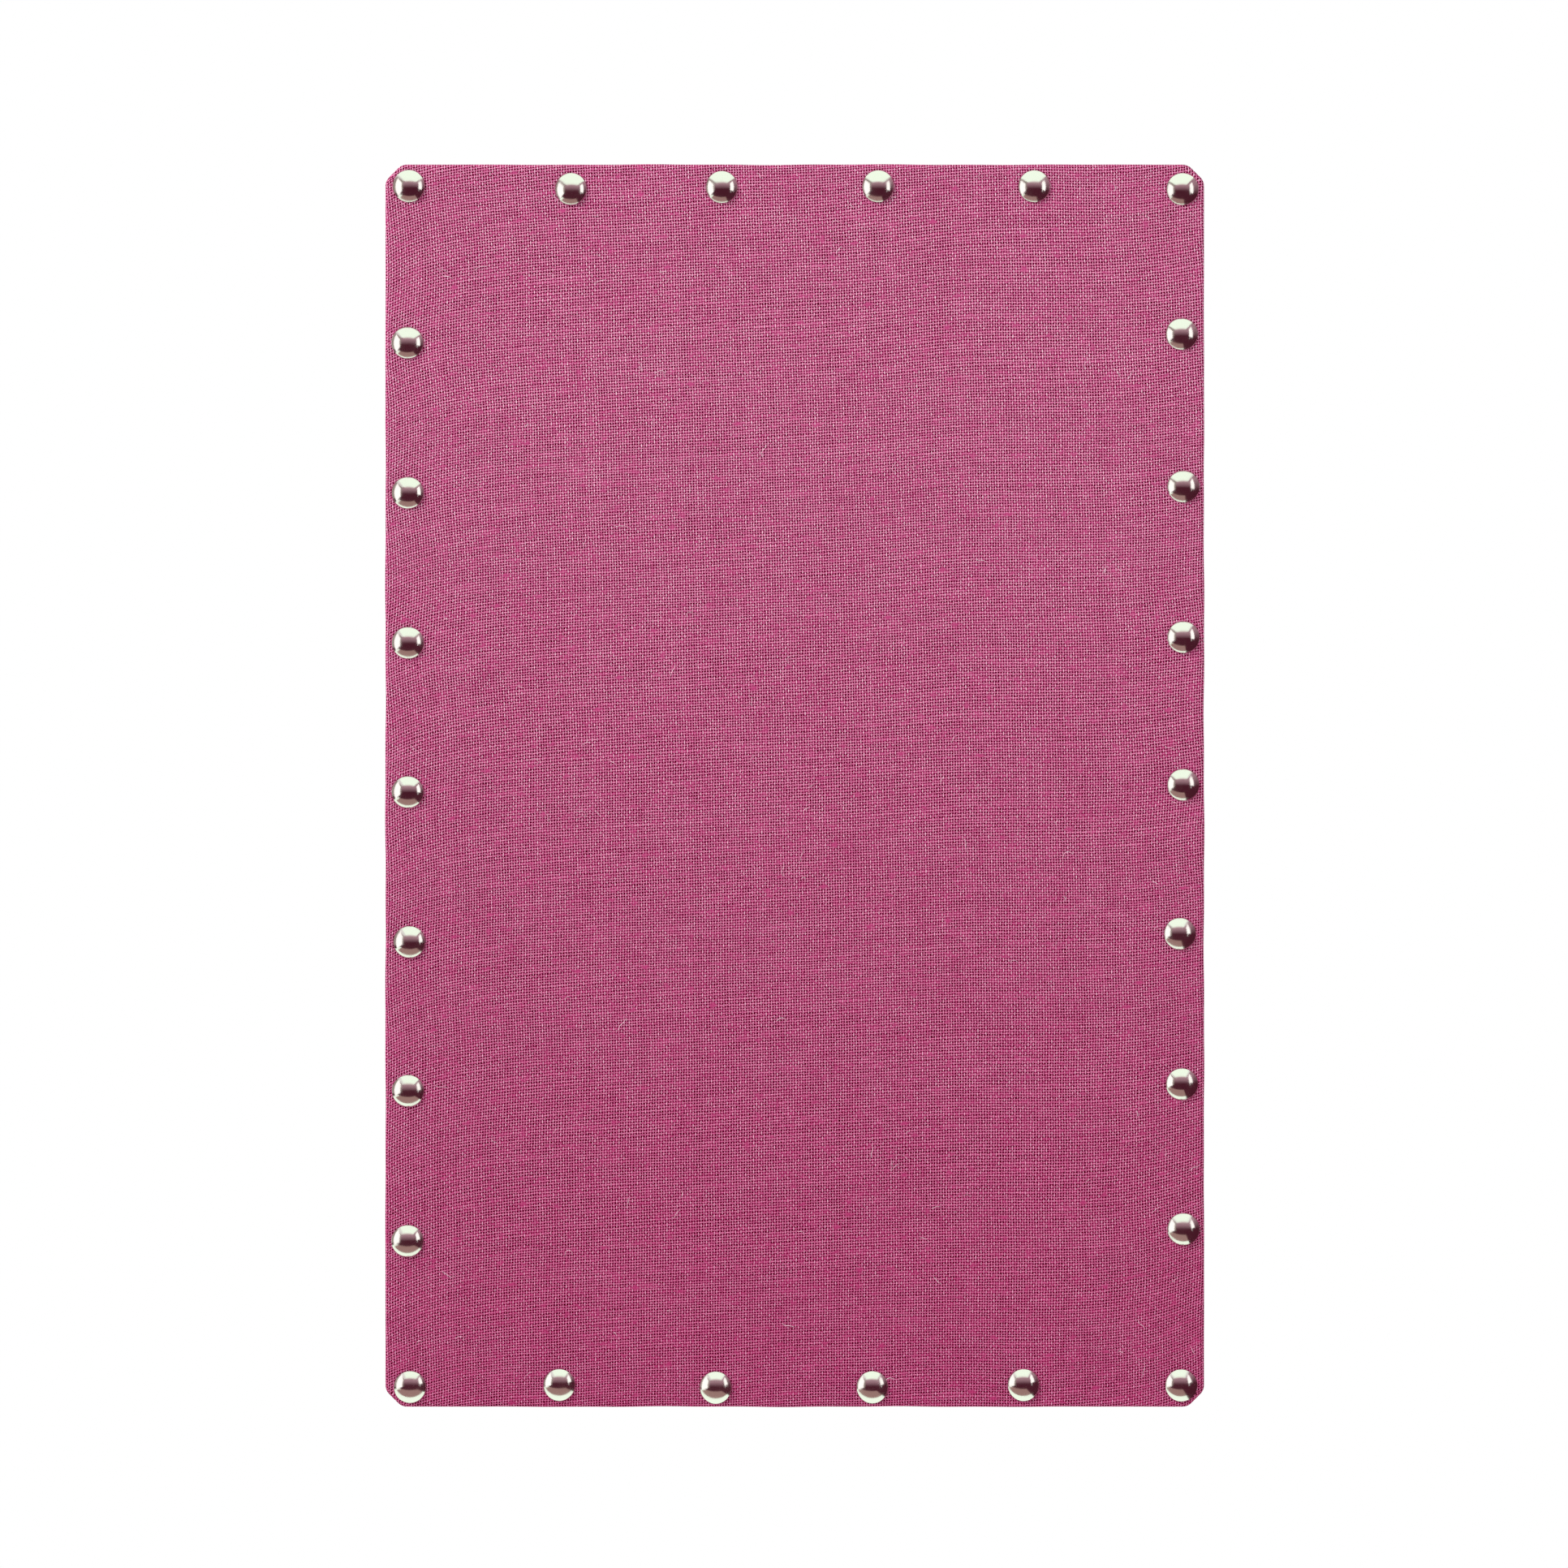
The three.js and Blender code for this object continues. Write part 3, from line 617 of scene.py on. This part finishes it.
@as_material
def burlap_material(add, cloth):
    """Dyed jute burlap, plain woven from hairy, uneven yarn.

    Its colour paints the light: near-black painted shade in the gaps, painted highlights on the
    tops of the upright threads, deeper magenta on the level ones, long level slubs that close the
    gaps, and painted light that makes the cloth paler towards its upper edge.
    """
    uv = add("UVMap", uv_map="cloth")
    flat = add("SeparateXYZ", [uv])
    warp = add("Math", [flat.outputs[0], cloth.warp_spacing], "DIVIDE")
    weft = add("Math", [flat.outputs[1], cloth.weft_spacing], "DIVIDE")
    counted = []
    for across, along, yarn in ((warp, weft, WARP_YARN), (weft, warp, WEFT_YARN)):
        beside = add("Math", [across, yarn.wander_beside, yarn.wander_start], "MULTIPLY_ADD")
        run = add("Math", [along, yarn.wander_run], "MULTIPLY")
        line = add("CombineXYZ", {"X": beside, "Y": run})
        wander = noise(add, line, 1.0, 1.0, "2D")
        counted.append(add("Math", [wander, yarn.wander, across], "MULTIPLY_ADD"))
    # Fuzz of single fibres is about 0.1 mm; it is drawn at 0.6 mm so that it shows.
    fuzz = noise(add, uv, 1 / (0.6 * MM), 2.0, "2D")
    cloud = noise(add, uv, 1 / (22 * MM), 3.0, "2D")
    uneven = add("Math", [cloud, 0.07, fuzz], "MULTIPLY_ADD")
    uneven = add("MapRange", [uneven, 0.25, 0.95, 0.7, 1.3])
    heights, shaded_dyes = [], []
    for across, along, yarn, tints in (
        (*counted, WARP_YARN, (cloth.gap, cloth.warp_shade, cloth.warp, cloth.warp_top_highlight)),
        (*counted[::-1], WEFT_YARN, (cloth.gap, cloth.weft_shade, cloth.weft, cloth.weft_top_highlight)),
    ):
        height, tone = thread_family(add, across, along, yarn)
        tone = add("Math", [tone, uneven], "MULTIPLY")
        # The ramp paints shade in the gaps and dives, the dyed body, and a highlight on the tops.
        dye = add("ValToRGB", [tone])
        fill_ramp(dye, SHADE_AND_DYE_TONES, map(opaque, tints))
        heights.append(height)
        shaded_dyes.append(dye)
    height = add("Math", [heights[0], heights[1]], "MAXIMUM")
    warp_above = add("Math", [heights[0], heights[1]], "GREATER_THAN")
    dye = blend(add, warp_above, shaded_dyes[1], shaded_dyes[0])
    # Felted knots are about 5.5 mm long and 3 mm high.
    clot = add("VectorMath", [uv, (1 / (5.5 * MM), 1 / (3 * MM), 0)], "MULTIPLY")
    clot = noise(add, clot, 1.0, 0.0, "2D")
    clot = add("MapRange", [clot, 0.74, 0.96, 0.0, 0.85])
    dye = blend(add, clot, dye, opaque(cloth.clot))
    # Painted light from above: the colour is paler towards the upper edge and darker and more
    # saturated towards the lower one.
    painted_light_level = add("MapRange", [flat.outputs[1], -0.3, 0.18])
    painted_light_filter = blend(add, painted_light_level, opaque(cloth.painted_lower_shade), WHITE)
    dye = blend(add, 1.0, dye, painted_light_filter, blend_type="MULTIPLY")
    bump = add("Bump", {"Strength": 0.4, "Distance": 0.35 * MM, "Height": height})
    finish = {"Roughness": 0.9, "Specular IOR Level": 0.0}
    return add("BsdfPrincipled", {"Base Color": dye, "Normal": bump, **finish})


@as_material
def mottled_material(add, tints, grain, detail, rough, vary=0.0, metallic=0.0, pits=0.0):
    """A surface that its grain mottles from one tint to the other.

    Roughness can vary with the grain too, and pits give the grain a depth.
    """
    mottle = noise(add, add("TexCoord").outputs["Object"], 1 / grain, detail)
    dye = blend(add, mottle, *tints)
    finish = {"Base Color": dye, "Metallic": metallic, "Roughness": rough}
    if vary:
        finish["Roughness"] = add("MapRange", [mottle, 0.3, 0.7, rough - vary, rough + vary])
    if pits:
        finish["Normal"] = add("Bump", {"Strength": 0.2, "Distance": pits, "Height": mottle})
    return add("BsdfPrincipled", finish)


def fibre_paths(cloth, rng):
    """Stray fibres on the front: arcs of random length, heading and curl that rise off it."""
    low, high = node_box("burlap_cover")
    each, steps, margin = (cloth.fibre_count, 1), 10, 4 * MM
    t = np.linspace(0, 1, steps)
    across = rng.uniform(-1, 1, each) * (high[0] - margin)
    start = across + 1j * rng.uniform(-1, 1, each) * (high[2] - margin)
    span = rng.uniform(2, 8.5, each) * MM
    heading = rng.uniform(0, 2 * math.pi, each)
    curl = rng.normal(0, 1.1, each)
    angle = heading + curl * (t - 0.5) + 0.5 * np.sin(5 * t + heading)
    move = np.cumsum(np.exp(1j * angle), axis=1) * span / steps
    place = start + move - move.mean(axis=1, keepdims=True)
    lift = 0.05 * MM + rng.uniform(0.1, 0.8, each) * MM * np.sin(math.pi * t)
    radius = rng.uniform(0.045, 0.125, each) * MM * (1 - 0.5 * np.abs(2 * t - 1))
    return in_space(place, low[1] - cloth.pile - lift), radius


def fringe_paths(cloth, rng):
    """Cut thread ends along the hem's raw edge: short arcs that fan out over the back panel."""
    high = node_box("burlap_cover")[1]
    back = node_box("backing_panel")[1][1]
    window = complex(high[0], high[2]) - cloth.hem_width * (1 + 1j)
    spacing, rooted, lying = 1.25 * cloth.warp_spacing, 1.2 * MM, 0.45 * MM
    starts, headings = [], []
    for side in range(4):
        across, level = along_side(window, side)
        count = round(2 * across / spacing)
        along = np.linspace(-across, across, count) + rng.normal(0, 0.3, count) * MM
        turn = (-1j) ** side
        starts.append((along + 1j * (level + rooted)) * turn)
        headings.append(np.angle(-1j * turn) + rng.normal(0, 0.3, count))
    start, heading = (np.concatenate(parts)[:, None] for parts in (starts, headings))
    each, steps = start.shape, 5
    t = np.linspace(0, 1, steps)
    span = (1.8 + rng.gamma(1.6, 1.1, each)) * MM
    angle = heading + rng.normal(0, 0.6, each) * t
    place = start + np.cumsum(np.exp(1j * angle), axis=1) * span / steps
    rise = rng.uniform(0, 0.5, each) * MM * t + 0.1 * MM * np.sin(math.pi * t)
    radius = rng.uniform(0.2, 0.34, each) * MM * (1 - 0.45 * t)
    return in_space(place, back + lying + rise), radius


class CORKBOARD_OT_burlap_cover(Operator):
    """Stretch the woven cover over the board, with its hem, raw edge and loose fibres"""

    bl_idname = "corkboard.burlap_cover"
    bl_label = "Burlap Cover"

    def execute(self, context):
        cloth = context.scene.corkboard_burlap
        rng = np.random.default_rng(26)
        woven = burlap_material("dyed_jute_burlap_plain_weave", cloth)
        # Loose fibre is thin, matt and unevenly dyed, so that it shows against the weave; one of
        # its tints is the warp's painted highlight colour.
        loose = partial(mottled_material, grain=12 * MM, detail=1.0, rough=0.7)
        stray = loose("jute_fibre_stray", (opaque(cloth.warp_top_highlight), opaque(cloth.fibre)))
        frayed = loose("dyed_jute_yarn_cut", (opaque(cloth.weft), opaque(cloth.warp)))
        patches = cover_patches(cloth)
        cover = new_piece("burlap_sheet", patches, woven, outwards=False, sharp_angle=70)
        wall = cover.modifiers.new("Thickness", "SOLIDIFY")
        wall.thickness, wall.offset = cloth.thickness, -1
        fibres = threads("burlap_fibres", *fibre_paths(cloth, rng), sides=3, material=stray)
        fringe = threads("burlap_fringe", *fringe_paths(cloth, rng), sides=4, material=frayed)
        for piece in (cover, fibres, fringe):
            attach(piece, "board")
        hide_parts("burlap_cover")
        return {"FINISHED"}


@as_material
def nickel_material(add, stud):
    """Nickel plate, polished on a pressed steel dome: a clear mirror with faint smears."""
    place = add("TexCoord").outputs["Object"]
    smear = noise(add, place, 1 / (5 * MM), 3.0)
    gloss = add("MapRange", [smear, 0.35, 0.75, 0.13, 0.21])
    # Polishing lines are a few hundredths of a millimetre wide; they are drawn at 0.5 mm.
    lines = noise(add, place, 1 / (0.5 * MM), 2.0)
    bump = add("Bump", {"Strength": 0.06, "Distance": 0.02 * MM, "Height": lines})
    finish = {"Base Color": opaque(stud.nickel), "Metallic": 1.0}
    return add("BsdfPrincipled", {"Roughness": gloss, "Normal": bump, **finish})


def stud_profile(stud, radius, rise, depth):
    """Half section of a nailhead from crown to point, as (radius, height over the rim's plane).

    A cap of a sphere that ends a lip above the cloth, a rolled rim, the hollow underside, the
    shank and its point.
    """
    crown = rise - stud.lip
    ball = (radius**2 + crown**2) / (2 * crown)
    centre, roll = rise - ball, stud.rim_roll
    rim = math.asin((radius - roll) / (ball - roll))
    dome = arc((0, centre), ball, np.linspace(0, rim, 22))
    hub = (radius - roll, centre + (ball - roll) * math.cos(rim))
    edge = arc(hub, roll, np.linspace(rim, math.pi, 8)[1:])
    inside, shank = ball - stud.wall, stud.shank / 2
    widest = 0.9 * math.asin((radius - 2 * roll) / inside)
    hollow = arc((0, centre), inside, np.linspace(widest, math.asin(shank / inside), 8))
    nail = np.array([[shank, stud.point - depth], [0, -depth]])
    return np.concatenate([dome, edge, hollow, nail])


class CORKBOARD_OT_nailhead_studs(Operator):
    """Drive the polished nailheads through the cloth, each with a slight lean of its own"""

    bl_idname = "corkboard.nailhead_studs"
    bl_label = "Nailhead Studs"

    def execute(self, context):
        stud = context.scene.corkboard_studs
        nickel = nickel_material("nickel_plate_polished", stud)
        rng = np.random.default_rng(8)
        over_cloth, steps, frontwards = 0.3 * MM, 64, -1
        seat = node_box("burlap_cover")[0][1] - over_cloth
        for name in STUDS:
            low, high = node_box(name)
            radius = (high[0] - low[0]) / 2
            profile = stud_profile(stud, radius, seat - low[1], high[1] - seat)
            lean = stud.lean * rng.uniform(-1, 1, 2)
            head = f"{name}_nailhead"
            turned_piece(name, head, profile, steps, seat, frontwards, nickel, lean)
        return {"FINISHED"}


@as_material
def cork_material(add, back):
    """Agglomerated cork, pressed from granules: tan grains of mixed tone with dark bark flecks."""
    place = add("TexCoord").outputs["Object"]
    grain = add("TexVoronoi", {"Vector": place, "Scale": 1 / (2.5 * MM)})
    tone = add("SeparateColor", [grain.outputs["Color"]])
    dye = add("ValToRGB", [tone])
    fill_ramp(dye, (0.04, 0.16, 1.0), shades(back.cork, 0.35, 0.85, 1.15))
    relief = {"Strength": 0.4, "Distance": 0.2 * MM, "Height": grain.outputs["Distance"]}
    bump = add("Bump", relief)
    return add("BsdfPrincipled", {"Base Color": dye, "Roughness": 0.9, "Normal": bump})


@as_material
def fibreboard_material(add, back):
    """Hard fibreboard, hot pressed and sanded: a warm brown felt of fibres with dark specks."""
    place = add("TexCoord").outputs["Object"]
    dark, pale, bark = shades(back.fibreboard, 0.7, 1.28, 0.3)
    # Fibre bundles are about 0.1 mm wide and 3 mm long; they are drawn at 0.8 by 6 mm to show.
    bundles = (1 / (6 * MM), 1 / (6 * MM), 1 / (0.8 * MM))
    tone = 0.0
    for turn in (0.35, 1.3, 2.4):
        laid = add("Mapping", {"Vector": place, "Rotation": (0, turn, 0)})
        laid = add("VectorMath", [laid, bundles], "MULTIPLY")
        fibre = noise(add, laid, 1.0, 2.0, Roughness=0.6)
        tone = add("Math", [fibre, tone], "MAXIMUM")
    patch = noise(add, place, 1 / (60 * MM), 4.0)
    level = add("Math", [patch, 0.16, tone], "MULTIPLY_ADD")
    level = add("MapRange", [level, 0.5, 0.9])
    dye = blend(add, level, dark, pale)
    speck = add("TexVoronoi", {"Vector": place, "Scale": 1 / (5 * MM)})
    speck = add("MapRange", [speck.outputs["Distance"], 0.07, 0.14, 0.5, 0.0])
    dye = blend(add, speck, dye, bark)
    bump = add("Bump", {"Strength": 0.3, "Distance": 0.1 * MM, "Height": tone})
    return add("BsdfPrincipled", {"Base Color": dye, "Roughness": 0.75, "Normal": bump})


def dress_node(node, material):
    """Give a CAD node whose shape is right its finished material."""
    slots = frame["nodes"][node].data.materials
    slots.clear()
    slots.append(material)


class CORKBOARD_OT_board_layers(Operator):
    """Finish the cork sheet and the fibreboard panel"""

    bl_idname = "corkboard.board_layers"
    bl_label = "Board Layers"

    def execute(self, context):
        back = context.scene.corkboard_back
        dress_node("cork_sheet", cork_material("agglomerated_cork_pressed", back))
        dress_node("backing_panel", fibreboard_material("fibreboard_pressed_sanded", back))
        return {"FINISHED"}


def ring_path(back, pivot, lean):
    """Route of a D-ring's wire: half the bar, a corner, a leg, the half-circle bow and back again.

    Lengths along the outline are even, and the outline leans towards the panel about the bar.
    """
    steps = 96
    bar, corner = back.ring_bar, back.ring_wire
    leg = bar + corner
    bow = back.ring_reach - leg
    bend = complex(bar, corner) + corner * np.exp(1j * np.linspace(-math.pi / 2, 0, 12))
    arch = 1j * bow + leg * np.exp(1j * np.linspace(0, math.pi / 2, 24))
    half = np.concatenate([[back.ring_butt / 2], bend, arch])
    path = np.concatenate([half, -half[-2::-1].conj()])
    travelled = lengths_along(path)
    path = np.interp(np.linspace(0, travelled[-1], steps), travelled, path)
    x = pivot[0] + path.real
    y = pivot[1] - path.imag * math.sin(lean)
    z = pivot[2] + path.imag * math.cos(lean)
    return np.stack([x, y, z], axis=-1)[None], np.full((1, steps), back.ring_wire / 2)


class CORKBOARD_OT_hangers(Operator):
    """Bend the D-rings and finish the straps, their screws and the staples"""

    bl_idname = "corkboard.hangers"
    bl_label = "Hangers and Staples"

    def execute(self, context):
        back = context.scene.corkboard_back
        # Plated steel has a soft metal sheen, mottled by the plating's grain.
        plated = partial(mottled_material, detail=4.0, vary=0.08, metallic=1.0)
        zinc = plated("steel_zinc_plated", shades(back.zinc, 0.75, 1.1), 2 * MM, rough=0.3)
        wire = plated("steel_wire_galvanised", shades(back.staple, 0.75, 1.1), 1 * MM, rough=0.38)
        joints = frame["record"]["behaviour"]["joints"]
        pivots = {joint["child"]: joint["pos_m"] for joint in joints}
        for side in SIDES:
            pivot = pivots[f"ring_{side}"]
            lowest = node_box(f"hanger_ring_{side}")[0][1]
            lean = math.asin((pivot[1] - lowest - back.ring_wire / 2) / back.ring_reach)
            path = ring_path(back, pivot, lean)
            ring = threads(f"d_ring_{side}", *path, sides=16, material=zinc)
            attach(ring, f"ring_{side}")
            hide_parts(f"hanger_ring_{side}")
            dress_node(f"hanger_strap_{side}", zinc)
            dress_node(f"hanger_screw_{side}", zinc)
        for name in STAPLES:
            dress_node(name, wire)
        return {"FINISHED"}


def bumper_profile(back, wide, tall):
    """Half section of a bumper from the middle of its face to that of its foot.

    A flat face, a quarter circle, a wall that widens to the foot, and the foot's small bevel.
    """
    roll, slim = back.bumper_roll, wide - 1 * MM
    bevel_rise, bevel_width = 0.3 * MM, 0.2 * MM
    edge = arc((slim - roll, tall - roll), roll, np.linspace(0, math.pi / 2, 7))
    face = np.array([[0, tall], [slim * 0.5, tall]])
    foot = np.array([[wide, bevel_rise], [wide - bevel_width, 0], [0, 0]])
    return np.concatenate([face, edge, foot])


class CORKBOARD_OT_bumpers(Operator):
    """Mould the two rubber bumpers on the lower corners of the back"""

    bl_idname = "corkboard.bumpers"
    bl_label = "Bumpers"

    def execute(self, context):
        back = context.scene.corkboard_back
        steps, backwards = 48, 1
        # Moulded rubber is near black and matt, with a fine bloom that lightens it in patches.
        bloom = shades(back.rubber, 0.7, 1.6)
        rubber = mottled_material("rubber_moulded", bloom, 1.5 * MM, 4.0, 0.62, pits=0.05 * MM)
        for side in SIDES:
            node = f"bumper_{side}"
            low, high = node_box(node)
            profile = bumper_profile(back, (high[0] - low[0]) / 2, high[1] - low[1])
            name = f"rubber_{node}"
            turned_piece(node, name, profile, steps, low[1], backwards, rubber)
        return {"FINISHED"}


def softbox(name, place, aim, size, bright):
    """A flat white rectangular lamp that faces a point and that mirrors skip."""
    lamp = bpy.data.lights.new(name, "AREA")
    lamp.shape = "RECTANGLE"
    lamp.size, lamp.size_y = size
    lamp.energy = bright * math.pi * size[0] * size[1]
    holder = bpy.data.objects.new(name, lamp)
    holder.location = place
    holder.rotation_euler = (Vector(aim) - Vector(place)).to_track_quat("-Z", "Y").to_euler()
    holder.visible_glossy = False
    bpy.context.scene.collection.objects.link(holder)


@as_material
def flat_material(add, tint, strength=1.0, fade=None):
    """A painted flat that only mirrors show: one tint, or a fade to another along an axis."""
    paint = opaque(tint)
    if fade:
        far_tint, axis, start, end = fade
        place = add("SeparateXYZ", [add("TexCoord").outputs["Object"]])
        level = add("MapRange", [place.outputs[axis], start, end])
        paint = blend(add, level, paint, opaque(far_tint))
    return add("Emission", {"Color": paint, "Strength": strength})


def mirrored_flat(name, corner, side_a, side_b, material):
    """A flat panel from one corner along two sides, which only polished metal sees."""
    a, b = np.meshgrid(np.linspace(0, 1, 3), np.linspace(0, 1, 3), indexing="ij")
    points = np.array(corner) + a[..., None] * np.array(side_a) + b[..., None] * np.array(side_b)
    panel = new_piece(name, [(points, None)], material, outwards=False)
    panel.visible_camera = panel.visible_diffuse = panel.visible_shadow = False
    panel.visible_transmission = panel.visible_volume_scatter = False


def mirror_room(stage, ground):
    """The room that the polished studs show: pale ceiling, two windows, dim walls, dark front."""
    table, low, tall = ground + 2 * MM, -0.62, (0, 0, 2.8)
    wide, front, rear = (4.8, 0, 0), -3.1, 2.6
    ceiling = flat_material("flat_ceiling", stage.haze, 1.55, (stage.mint, "Y", -1.95, -1.35))
    pale = flat_material("flat_pale", stage.mint, 1.55)
    window = flat_material("flat_window", stage.window, 1.6)
    room = flat_material("flat_room", stage.room, fade=(stage.haze, "Z", -0.1, 1.3))
    left = flat_material("flat_left_wall", stage.wall)
    apron = flat_material("flat_table", stage.apron)
    dim = flat_material("flat_rear", stage.wall, fade=(stage.window, "Z", -0.3, 1.2))
    for flat in (
        ("ceiling_flat", (-1.0, -1.95, 1.15), (2.0, 0, 0), (0, 2.25, 0), ceiling),
        ("front_flat", (-2.4, front, low), wide, tall, room),
        ("dark_floor_flat", (-2.4, front, table), wide, (0, 3.6, 0), room),
        ("table_flat", (-1.0, -0.7, table + 2 * MM), (1.35, 0, 0), (0, 0.53, 0), apron),
        ("table_back_flat", (-1.3, -0.7, table + 1 * MM), (1.65, 0, 0), (0, 1.1, 0), pale),
        ("rear_flat", (-2.4, rear, low), wide, tall, dim),
        ("left_wall_flat", (-2.4, front, low), (0, 3.4, 0), tall, left),
        ("right_wall_flat", (2.0, front, low), (0, 3.6, 0), tall, room),
        ("left_window_flat", (-1.87, -1.85, -0.6), (0.62, 1.62, 0), (0, 0, 1.7), window),
        ("right_window_flat", (1.5, -1.5, -0.06), (-0.3, 0.94, 0), (0, 0, 1.15), window),
        ("stand_flat", (1.42, -1.25, -0.4), (-0.04, 0.12, 0), (0, 0, 0.4), window),
    ):
        mirrored_flat(*flat)


def seen_directly(add):
    """One for rays from the camera, mirrors and glass; nought for rays that light a surface."""
    rays = add("LightPath").outputs
    seen = add("Math", [rays["Is Camera Ray"], rays["Is Glossy Ray"]], "MAXIMUM")
    return add("Math", [seen, rays["Is Transmission Ray"]], "MAXIMUM")


@as_material
def floor_material(add, stage):
    """Matt painted floor: pale, takes the shadow, and fades to the white room towards its edge.

    From below it is clear, so that it never hides the board.
    """
    fade_start, fade_end = 0.75, 1.15
    away = add("VectorMath", [add("TexCoord").outputs["Object"]], "LENGTH")
    fade = add("MapRange", [away.outputs["Value"], fade_start, fade_end])
    seen = add("Math", [fade, seen_directly(add)], "MULTIPLY")
    paint = add("BsdfDiffuse", {"Color": opaque(stage.floor)})
    white = add("Emission", {"Color": WHITE, "Strength": 1.0})
    mixed = add("MixShader", [seen, paint, white])
    below = add("NewGeometry").outputs["Backfacing"]
    return add("MixShader", [below, mixed, add("BsdfTransparent")])


def light_world(stage):
    """White room: plain white to the camera and in mirrors, and a soft ambient on the object."""
    world = bpy.data.worlds.new("white_room")
    bpy.context.scene.world = world
    add = cleared_nodes(world)
    soft = add("Background", {"Color": WHITE, "Strength": stage.ambient})
    white = add("Background", {"Color": WHITE, "Strength": 1.0})
    mixed = add("MixShader", [seen_directly(add), soft, white])
    add("OutputWorld", {"Surface": mixed})


def place_camera(stage):
    """A long lens square to the board, framed as wide at the cloth as the settings say."""
    data = bpy.data.cameras.new("camera")
    data.sensor_width = 36
    data.lens = data.sensor_width * stage.camera_distance / stage.frame_width
    camera = bpy.data.objects.new("camera", data)
    cloth = node_box("burlap_cover")[0][1]
    camera.location = (stage.aim_x, cloth - stage.camera_distance, stage.aim_z)
    camera.rotation_euler = (math.pi / 2, 0, 0)
    scene = bpy.context.scene
    scene.collection.objects.link(camera)
    scene.camera = camera
    scene.view_settings.view_transform = "Standard"


class CORKBOARD_OT_stage(Operator):
    """Set up the floor, the white room, the softboxes, the flats and the camera"""

    bl_idname = "corkboard.stage"
    bl_label = "Stage"

    def execute(self, context):
        stage = context.scene.corkboard_stage
        ground = node_box("burlap_cover")[0][2] - stage.floor_drop
        reach = np.linspace(-1.2, 1.2, 25)
        a, b = np.meshgrid(reach, reach)
        points = np.stack([a, b, 0 * a + ground], axis=-1)
        paint = floor_material("floor_paint_matt", stage)
        floor = new_piece("floor", [(points, None)], paint, outwards=False)
        light_world(stage)
        middle, near_side, tall = (0, 0, 0), (0, -0.02, 0), (0.76, 1.3)
        # The light from the right is stronger than the light from the left.
        dimmer, brighter = stage.side * (1 - 0.38), stage.side * (1 + 0.38)
        for lamp in (
            ("overhead_softbox", (0, -0.8, 1.15), (0, -0.7, 0), (1.7, 1.9), stage.overhead),
            ("key_softbox", (-2.7, -1.8, 2.55), middle, (1.0, 1.0), stage.key),
            ("left_softbox", (-1.05, -0.62, 0.1), near_side, tall, dimmer),
            ("left_rim_softbox", (-1.3, 0.75, 0.2), middle, (1.0, 1.3), stage.rim),
            ("right_softbox", (1.05, -0.62, 0.1), near_side, tall, brighter),
            ("right_rim_softbox", (1.3, 0.75, 0.2), middle, (1.0, 1.3), stage.rim),
            ("back_softbox", (0.2, 1.9, 0.7), middle, (1.8, 1.4), stage.back),
        ):
            softbox(*lamp)
        mirror_room(stage, ground)
        place_camera(stage)
        return {"FINISHED"}


class CORKBOARD_PT_build(Panel):
    """Lists the board's building steps and their settings"""

    bl_idname = "CORKBOARD_PT_build"
    bl_label = "Cork Board"
    bl_space_type = "VIEW_3D"
    bl_region_type = "UI"
    bl_category = "Cork Board"

    def draw(self, context):
        for operator in OPERATORS:
            self.layout.operator(operator.bl_idname)
        for name in SETTINGS:
            box = self.layout.box()
            settings = getattr(context.scene, name)
            for field in settings.__annotations__:
                box.prop(settings, field)


SETTINGS = {
    "corkboard_burlap": BurlapSettings,
    "corkboard_studs": StudSettings,
    "corkboard_back": BackSettings,
    "corkboard_stage": StageSettings,
}
OPERATORS = (
    CORKBOARD_OT_board_layers,
    CORKBOARD_OT_burlap_cover,
    CORKBOARD_OT_nailhead_studs,
    CORKBOARD_OT_hangers,
    CORKBOARD_OT_bumpers,
    CORKBOARD_OT_stage,
)
CLASSES = (*SETTINGS.values(), *OPERATORS, CORKBOARD_PT_build)


def register():
    """Register the classes and give the scene its settings."""
    for cls in CLASSES:
        bpy.utils.register_class(cls)
    for name, settings in SETTINGS.items():
        setattr(bpy.types.Scene, name, PointerProperty(type=settings))


def unregister():
    """Take the settings and the classes away again."""
    for name in SETTINGS:
        delattr(bpy.types.Scene, name)
    for cls in reversed(CLASSES):
        bpy.utils.unregister_class(cls)


def main():
    """Register the classes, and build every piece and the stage."""
    register()
    bpy.ops.corkboard.board_layers()
    bpy.ops.corkboard.burlap_cover()
    bpy.ops.corkboard.nailhead_studs()
    bpy.ops.corkboard.hangers()
    bpy.ops.corkboard.bumpers()
    bpy.ops.corkboard.stage()


if __name__ == "__main__":
    main()
